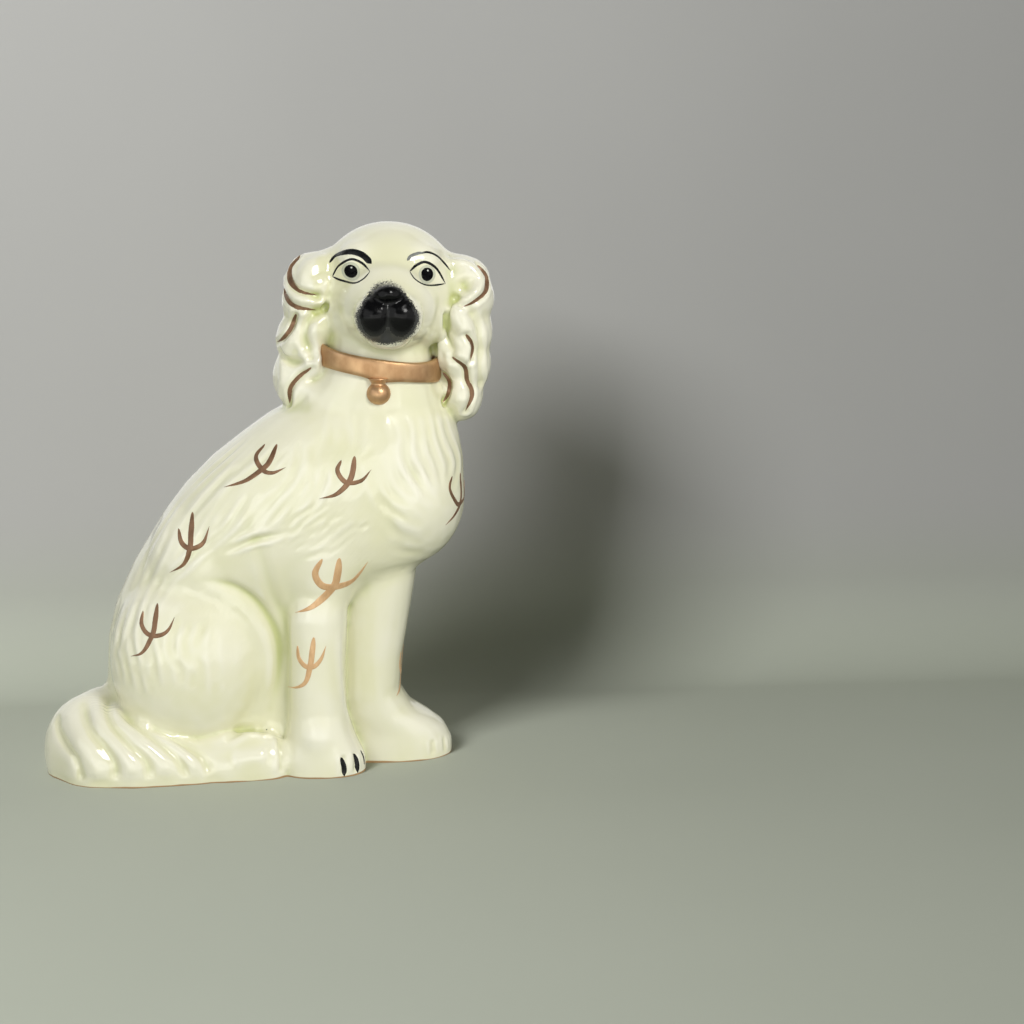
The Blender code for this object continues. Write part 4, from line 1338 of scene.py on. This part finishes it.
# %% Gilt sprigs and the lines on the ears
SPRIGS = {
    # seen from, fork, width, steps from the fork along the cup, steps along the stem; all in mm
    "sprig_back_top": (
        0, (-2.9, 173.6), 3.1,
        ((1.6, 12.4), (-3.4, 5.8), (0.2, -0.6), (5.4, -1.8), (12.5, 1.1)),
        ((8.1, 12.9), (4.2, 4.6), (0.0, 0.0), (-9.8, -6.7), (-21.0, -10.4)),
    ),
    "sprig_shoulder": (
        0, (43.1, 166.1), 3.1,
        ((-3.4, 12.5), (-5.6, 6.7), (-1.2, 0.6), (6.9, 1.0), (12.8, 7.0)),
        ((3.8, 14.5), (2.6, 6.0), (0.0, 0.0), (-6.8, -6.1), (-15.5, -8.1)),
    ),
    "sprig_chest_edge": (
        40, (71.2, 149.0), 3.0,
        ((-7.1, 16.6), (-10.8, 10.0), (-5.0, 1.6), (0.0, 0.0), (8.0, 2.5), (12.0, 11.0)),
        ((2.0, 17.0), (2.4, 8.0), (0.0, 0.0), (-6.0, -5.6), (-13.3, -10.0)),
    ),
    "sprig_arm": (
        0, (34.3, 107.5), 4.5,
        ((-5.7, 16.8), (-9.7, 8.6), (-6.4, 1.8), (0.0, 0.2), (9.6, 1.6), (14.6, 6.0), (19.4, 13.3)),
        ((3.6, 16.8), (2.6, 7.6), (0.0, 0.0), (-10.4, -9.8), (-20.7, -14.4)),
    ),
    "sprig_foreleg": (
        0, (21.0, 63.3), 3.2,
        ((-6.6, 11.5), (-6.1, 4.8), (-2.6, 0.4), (2.0, 0.2), (6.1, 4.4), (9.0, 11.8)),
        ((2.4, 16.9), (1.2, 7.4), (0.0, 0.0), (-3.2, -9.5), (-12.2, -14.5)),
    ),
    "sprig_back_middle": (
        0, (-43.1, 130.1), 3.2,
        ((-6.1, 9.9), (-4.8, 3.4), (-1.6, 0.2), (3.2, 0.2), (7.6, 3.4), (10.8, 12.0)),
        ((1.7, 18.7), (0.8, 8.4), (0.0, 0.0), (-3.4, -8.7), (-11.3, -13.9)),
    ),
    "sprig_haunch": (
        0, (-64.3, 83.6), 3.0,
        ((-5.1, 11.8), (-5.9, 4.9), (-2.4, 0.2), (3.6, -0.2), (8.6, 2.8), (12.2, 9.4)),
        ((2.9, 16.2), (1.6, 7.4), (0.0, 0.0), (-5.5, -9.6), (-12.2, -12.7)),
    ),
    "sprig_far_leg": (
        60, (41.0, 48.5), 3.0,
        ((-8.3, 14.0), (-7.8, 5.5), (-3.4, 0.8), (2.0, 0.6), (7.0, 3.5), (10.0, 12.0)),
        ((2.4, 15.5), (1.4, 7.0), (0.0, 0.0), (-5.0, -7.5), (-13.6, -10.8)),
    ),
}
PALE_SPRIGS = ("sprig_arm", "sprig_foreleg", "sprig_far_leg")


def sprig_strokes(azimuth, fork, width, cup, stem):
    """A sprig is two strokes: the cup, thickest at its foot, and the stem, from the middle tine to the tail."""
    fork = np.array(fork)
    return [
        stroke_grid(fork + np.array(cup), width * 0.86, azimuth, taper=(0.30, 0.55)),
        stroke_grid(fork + np.array(stem), width, azimuth, taper=(0.22, 0.60)),
    ]


sprigs = {name: strokes_piece(name, sprig_strokes(*values)) for name, values in SPRIGS.items()}
EAR_STROKES = {
    # lines, their widths, and where each lands and leaves
    "right_ear_gilt": (RIGHT_EAR_LINES, (4.0, 3.3, 2.6, 3.0), ((0.5, 0.6), (0.4, 0.6), (0.3, 0.4), (0.5, 0.3))),
    "left_ear_gilt": (LEFT_EAR_LINES, (3.3, 2.8, 3.4, 2.6), ((0.3, 0.6), (0.3, 0.5), (0.4, 0.4), (0.4, 0.5))),
}
ear_gilt = {
    name: strokes_piece(name, [stroke_grid(stops, width, taper=taper) for stops, width, taper in zip(*values)])
    for name, values in EAR_STROKES.items()
}
print("gilt strokes:", len(sprigs) * 2 + 8)

# %% Eyes, brows and claws
def eye_line(x, z, stops, width, taper):
    """A stroke whose stops are steps from the middle of an eye."""
    return stroke_grid([(x + dx, z + dz) for dx, dz in stops], width, taper=taper)


(right_x, right_z), (left_x, left_z) = EYES
SHARP, SOFT, BROW = (0.2, 0.2), (0.35, 0.35), (0.7, 0.10)
BLACK_LINES = [
    # brow and lids of the right eye, then of the left
    eye_line(right_x, right_z, ((-11.0, 4.4), (-6.8, 8.8), (0.0, 11.0), (6.4, 9.4), (11.3, 4.8)), 3.5, BROW),
    eye_line(right_x, right_z, ((-9.6, -2.8), (-6.0, 3.2), (0.2, 7.0), (6.0, 5.2), (10.2, 1.1)), 1.35, SHARP),
    eye_line(right_x, right_z, ((-9.6, -2.8), (-5.4, -4.4), (1.4, -5.2), (6.6, -2.6), (10.2, 1.1)), 1.15, SHARP),
    eye_line(left_x, left_z, ((-4.4, 11.2), (0.4, 11.8), (5.6, 9.6), (10.0, 5.2), (13.4, 1.0)), 1.5, SOFT),
    eye_line(left_x, left_z, ((-10.2, 2.2), (-5.6, 5.4), (-0.8, 6.6), (5.2, 2.8), (10.2, -5.6)), 1.5, SHARP),
    eye_line(left_x, left_z, ((-10.2, 2.2), (-7.6, -1.6), (-2.4, -4.8), (3.4, -5.9), (10.2, -5.6)), 1.0, SHARP),
]
GREY_LINES = [
    eye_line(left_x, left_z, ((-11.2, 7.6), (-9.0, 10.0), (-5.0, 11.4), (-1.0, 11.6)), 1.8, (0.2, 0.4)),
]
CLAWS = [
    stroke_grid(((37.2, 11.6), (38.6, 6.4), (39.0, 0.7)), 3.6, taper=(0.45, 0.35)),
    stroke_grid(((44.2, 12.2), (46.2, 6.8), (46.6, 1.0)), 3.0, taper=(0.45, 0.35)),
    stroke_grid(((48.6, 12.0), (50.2, 8.0), (50.6, 4.0)), 2.0, taper=(0.4, 0.5)),
]


def disc_grid(x, z, radius, film=0.16, rings=8):
    """A round dot of paint: a grid of rings and turns, dropped on the skin, thinned to nothing at its rim."""
    spread = np.linspace(0.001, 1, rings)
    turns = np.linspace(0, 2 * math.pi, 41)
    reach = radius * spread[:, None]
    flat = np.stack([x + reach * np.cos(turns), z + reach * np.sin(turns)], -1)
    places, _ = dropped(flat.reshape(-1, 2))
    lift = np.broadcast_to((0.03 + film * (1 - spread**4))[:, None], (rings, len(turns)))
    return settle_on_skin(places.reshape(rings, len(turns), 3), lift)


PUPILS = ((right_x + 0.2, right_z + 0.6), (left_x - 0.3, left_z + 0.1))
black_lines = strokes_piece("eye_lines", BLACK_LINES)
grey_lines = strokes_piece("thin_brow", GREY_LINES)
halos = strokes_piece("pupil_washes", [disc_grid(x, z, 4.9, film=0.06) for x, z in PUPILS])
pupils = strokes_piece("pupils", [disc_grid(x, z, 3.8, film=0.16) for x, z in PUPILS])
# A painted highlight: a small pale glossy dot near the top of each pupil stands in for the glint of a light on
# the eye.
painted_glints = strokes_piece("painted_eye_glints", [disc_grid(x + 0.4, z + 1.9, 0.6, film=0.30, rings=4) for x, z in PUPILS])
claws = strokes_piece("claw_lines", CLAWS)
print("painted lines:", len(BLACK_LINES) + len(GREY_LINES) + len(CLAWS))

# %% Gilt and enamel
def make_gilt(name, thin, rich, shine, metal, streak=0.5):
    """Bronze-gold lustre: thin brown where the brush ran dry, richer where it is full."""
    material, tree, shader = new_material(name)
    streaks = placed(tree, STREAKS, place_vector(tree, scale=(420, 420, 130)), 1.0).outputs[0]
    drift = placed(tree, DRIFT, place_vector(tree), 110.0).outputs[0]
    slow = maths(tree, "MULTIPLY", drift, 1 - streak)
    share = maths(tree, "ADD", maths(tree, "MULTIPLY", streaks, streak), slow)
    colour = blend_colour(tree, share, (*thin, 1), (*rich, 1))
    rough = between(tree, share, 0.0, 1.0, shine + 0.10, shine)
    feed(tree, shader, [("Base Color", colour), ("Roughness", rough), ("Metallic", metal)])
    bumped(tree, shader, streaks, 0.10, 0.00015)
    return material


def make_enamel(name, thick, thin, gloss=0.25):
    """Overglaze enamel: glossy, paler where it is thin at the edge of a stroke."""
    material, tree, shader = new_material(name)
    run = node(tree, "ShaderNodeUVMap", uv_map="run").outputs[0]
    across = node(tree, "ShaderNodeSeparateXYZ", [(0, run)]).outputs[0]
    edge = maths(tree, "ABSOLUTE", maths(tree, "SUBTRACT", across, 0.5))
    at = place_vector(tree)
    noise = node(tree, "ShaderNodeTexNoise", [("Vector", at), ("Scale", 700.0), ("Detail", 2.0)])
    worn = between(tree, maths(tree, "ADD", edge, maths(tree, "MULTIPLY", noise.outputs[0], 0.2)), 0.46, 0.66)
    colour = blend_colour(tree, worn, (*thick, 1), (*thin, 1))
    rough = between(tree, noise.outputs[0], 0.3, 0.7, 0.22, 0.34)
    feed(tree, shader, [("Base Color", colour), ("Roughness", rough), ("Specular IOR Level", gloss)])
    return material


def make_wash():
    """The grey wash round a pupil, faintly mottled."""
    material, tree, shader = new_material("grey_wash")
    at = place_vector(tree)
    noise = node(tree, "ShaderNodeTexNoise", [("Vector", at), ("Scale", 900.0), ("Detail", 2.0)])
    colour = blend_colour(tree, noise.outputs[0], (0.47, 0.49, 0.38, 1), (0.58, 0.59, 0.45, 1))
    feed(tree, shader, [("Base Color", colour), ("Roughness", 0.2)])
    return material


DEEP_GILT = make_gilt("deep_gilt", (0.155, 0.082, 0.042), (0.30, 0.170, 0.095), 0.34, 0.45)
PALE_GILT = make_gilt("pale_gilt", (0.56, 0.335, 0.165), (0.74, 0.49, 0.27), 0.40, 0.25)
STRAP_GILT = make_gilt("strap_gilt", (0.46, 0.265, 0.130), (0.62, 0.395, 0.215), 0.36, 0.75, streak=0.2)
BLACK = make_enamel("black_enamel", (0.005, 0.0055, 0.006), (0.05, 0.055, 0.055))
PUPIL = make_enamel("pupil_enamel", (0.002, 0.002, 0.003), (0.004, 0.004, 0.005), gloss=0.08)
GREY = make_enamel("grey_enamel", (0.16, 0.17, 0.16), (0.42, 0.43, 0.36))
# The paint of the eye highlights: pale and glossy, standing in for a reflection of light.
PAINTED_GLINT = make_enamel("painted_eye_highlight", (0.62, 0.64, 0.60), (0.45, 0.46, 0.42))
WASH = make_wash()
for name, sprig in sprigs.items():
    sprig.data.materials.append(PALE_GILT if name in PALE_SPRIGS else DEEP_GILT)
for piece in ear_gilt.values():
    piece.data.materials.append(DEEP_GILT)
for piece in (collar, locket):
    piece.data.materials.append(STRAP_GILT)
for piece, finish in (
    (black_lines, BLACK), (grey_lines, GREY), (halos, WASH), (pupils, PUPIL), (painted_glints, PAINTED_GLINT), (claws, BLACK)
):
    piece.data.materials.append(finish)
print("finishes:", [material.name for material in bpy.data.materials if material.users])

# %% [markdown]
# ## Floor, backdrop and light
#
# The figure stands on a plain pale floor that turns up into the wall behind it in one sweep. The stage has one
# light of its own, from the front left. The figure has a key from the front right and wide fills from low in
# front, from both sides and from behind, and a dim even surround reaches both.

# %% Stage and lights
def facing_up(sheet):
    """A sheet turned over if its first face looks down."""
    if sheet.data.polygons[0].normal.z < 0:
        sheet.data.flip_normals()
    return sheet


def make_stage():
    """A floor swept up into a wall: rows of a profile carried along X."""
    corner = np.linspace(0, math.pi / 2, 16)
    run = np.concatenate([np.linspace(-5.0, 0.13, 24), 0.13 + 0.06 * np.sin(corner[1:]), [0.19]])
    rise = np.concatenate([np.zeros(24), 0.06 * (1 - np.cos(corner[1:])), [2.6]])
    x = np.linspace(-5.0, 5.0, 3)
    grid = np.stack(np.broadcast_arrays(x[None, :], run[:, None], rise[:, None]), -1) / MM
    return facing_up(outward(grid_piece("stage", grid)))


def make_floor(half_side=6.0, drop=0.0006):
    """A wide flat sheet just under the stage."""
    x, y = np.meshgrid([-half_side, 0.0, half_side], [-half_side, 0.0, half_side])
    return facing_up(outward(grid_piece("stage_floor", np.stack([x, y, 0 * x - drop], -1) / MM)))


def make_paper():
    """Pale paper, greyer on the wall; from behind, the wall lets the view through to the figure."""
    material, tree, shader = new_material("stage_paper")
    at = place_vector(tree)
    drift = placed(tree, DRIFT, at, 2.0).outputs[0]
    grain = node(tree, "ShaderNodeTexNoise", [("Vector", at), ("Scale", 600.0)]).outputs[0]
    up = node(tree, "ShaderNodeSeparateXYZ", [(0, at)]).outputs[2]
    floor = blend_colour(tree, drift, (0.435, 0.460, 0.385, 1), (0.460, 0.485, 0.410, 1))
    wall = blend_colour(tree, drift, (0.445, 0.440, 0.430, 1), (0.475, 0.470, 0.460, 1))
    colour = blend_colour(tree, between(tree, up, 0.0, 0.12), floor, wall)
    rough = between(tree, grain, 0.0, 1.0, 0.85, 1.0)
    feed(tree, shader, [("Base Color", colour), ("Roughness", rough), ("Specular IOR Level", 0.1)])
    back = node(tree, "ShaderNodeNewGeometry").outputs["Backfacing"]
    clear = node(tree, "ShaderNodeBsdfTransparent").outputs[0]
    mix = node(tree, "ShaderNodeMixShader", [(0, back), (1, shader.outputs[0]), (2, clear)])
    feed(tree, tree.nodes["Material Output"], [("Surface", mix.outputs[0])])
    return material


def softbox(name, place, size, power, tint, only):
    """A rectangular soft light aimed at the figure's middle, that falls on the pieces of one collection."""
    data = bpy.data.lights.new(name, "AREA")
    data.shape, data.size, data.size_y, data.energy, data.color = "RECTANGLE", *size, power, tint
    light = bpy.data.objects.new(name, data)
    light.location = place
    light.rotation_euler = (Vector((0, 0, 0.15)) - Vector(place)).to_track_quat("-Z", "Y").to_euler()
    bpy.context.scene.collection.objects.link(light)
    light.light_linking.receiver_collection = only
    if only.name == "lit_figure":
        light.light_linking.blocker_collection = only


stage, floor = make_stage(), make_floor()
PAPER = make_paper()
for sheet in (stage, floor):
    sheet.data.materials.append(PAPER)
on_figure, on_stage = bpy.data.collections.new("lit_figure"), bpy.data.collections.new("lit_stage")
for piece in bpy.context.scene.objects:
    if piece.type == "MESH":
        (on_stage if piece in (stage, floor) else on_figure).objects.link(piece)
WARM, EVEN = (1.0, 0.985, 0.955), (1.0, 1.0, 1.0)
softbox("stage_key", (-0.95, -1.35, 1.15), (0.7, 0.7), 38.0, EVEN, on_stage)
softbox("figure_key", (0.72, -1.15, 1.25), (0.50, 0.50), 16.3, WARM, on_figure)
softbox("figure_low", (0.05, -1.60, 0.20), (2.0, 0.8), 7.5, WARM, on_figure)
softbox("figure_left", (-1.15, -1.05, 0.60), (1.9, 1.6), 10.2, EVEN, on_figure)
softbox("figure_right", (1.20, -0.80, 0.50), (1.5, 1.3), 5.0, WARM, on_figure)
softbox("figure_back", (-0.3, 1.6, 1.0), (3.2, 2.2), 11.0, EVEN, on_figure)
world = bpy.data.worlds.new("surround")
bpy.context.scene.world = world
world.use_nodes = True
background = world.node_tree.nodes["Background"]
feed(world.node_tree, background, [("Color", (0.42, 0.43, 0.40, 1)), ("Strength", 0.20)])
bpy.context.scene.view_settings.view_transform = "Standard"
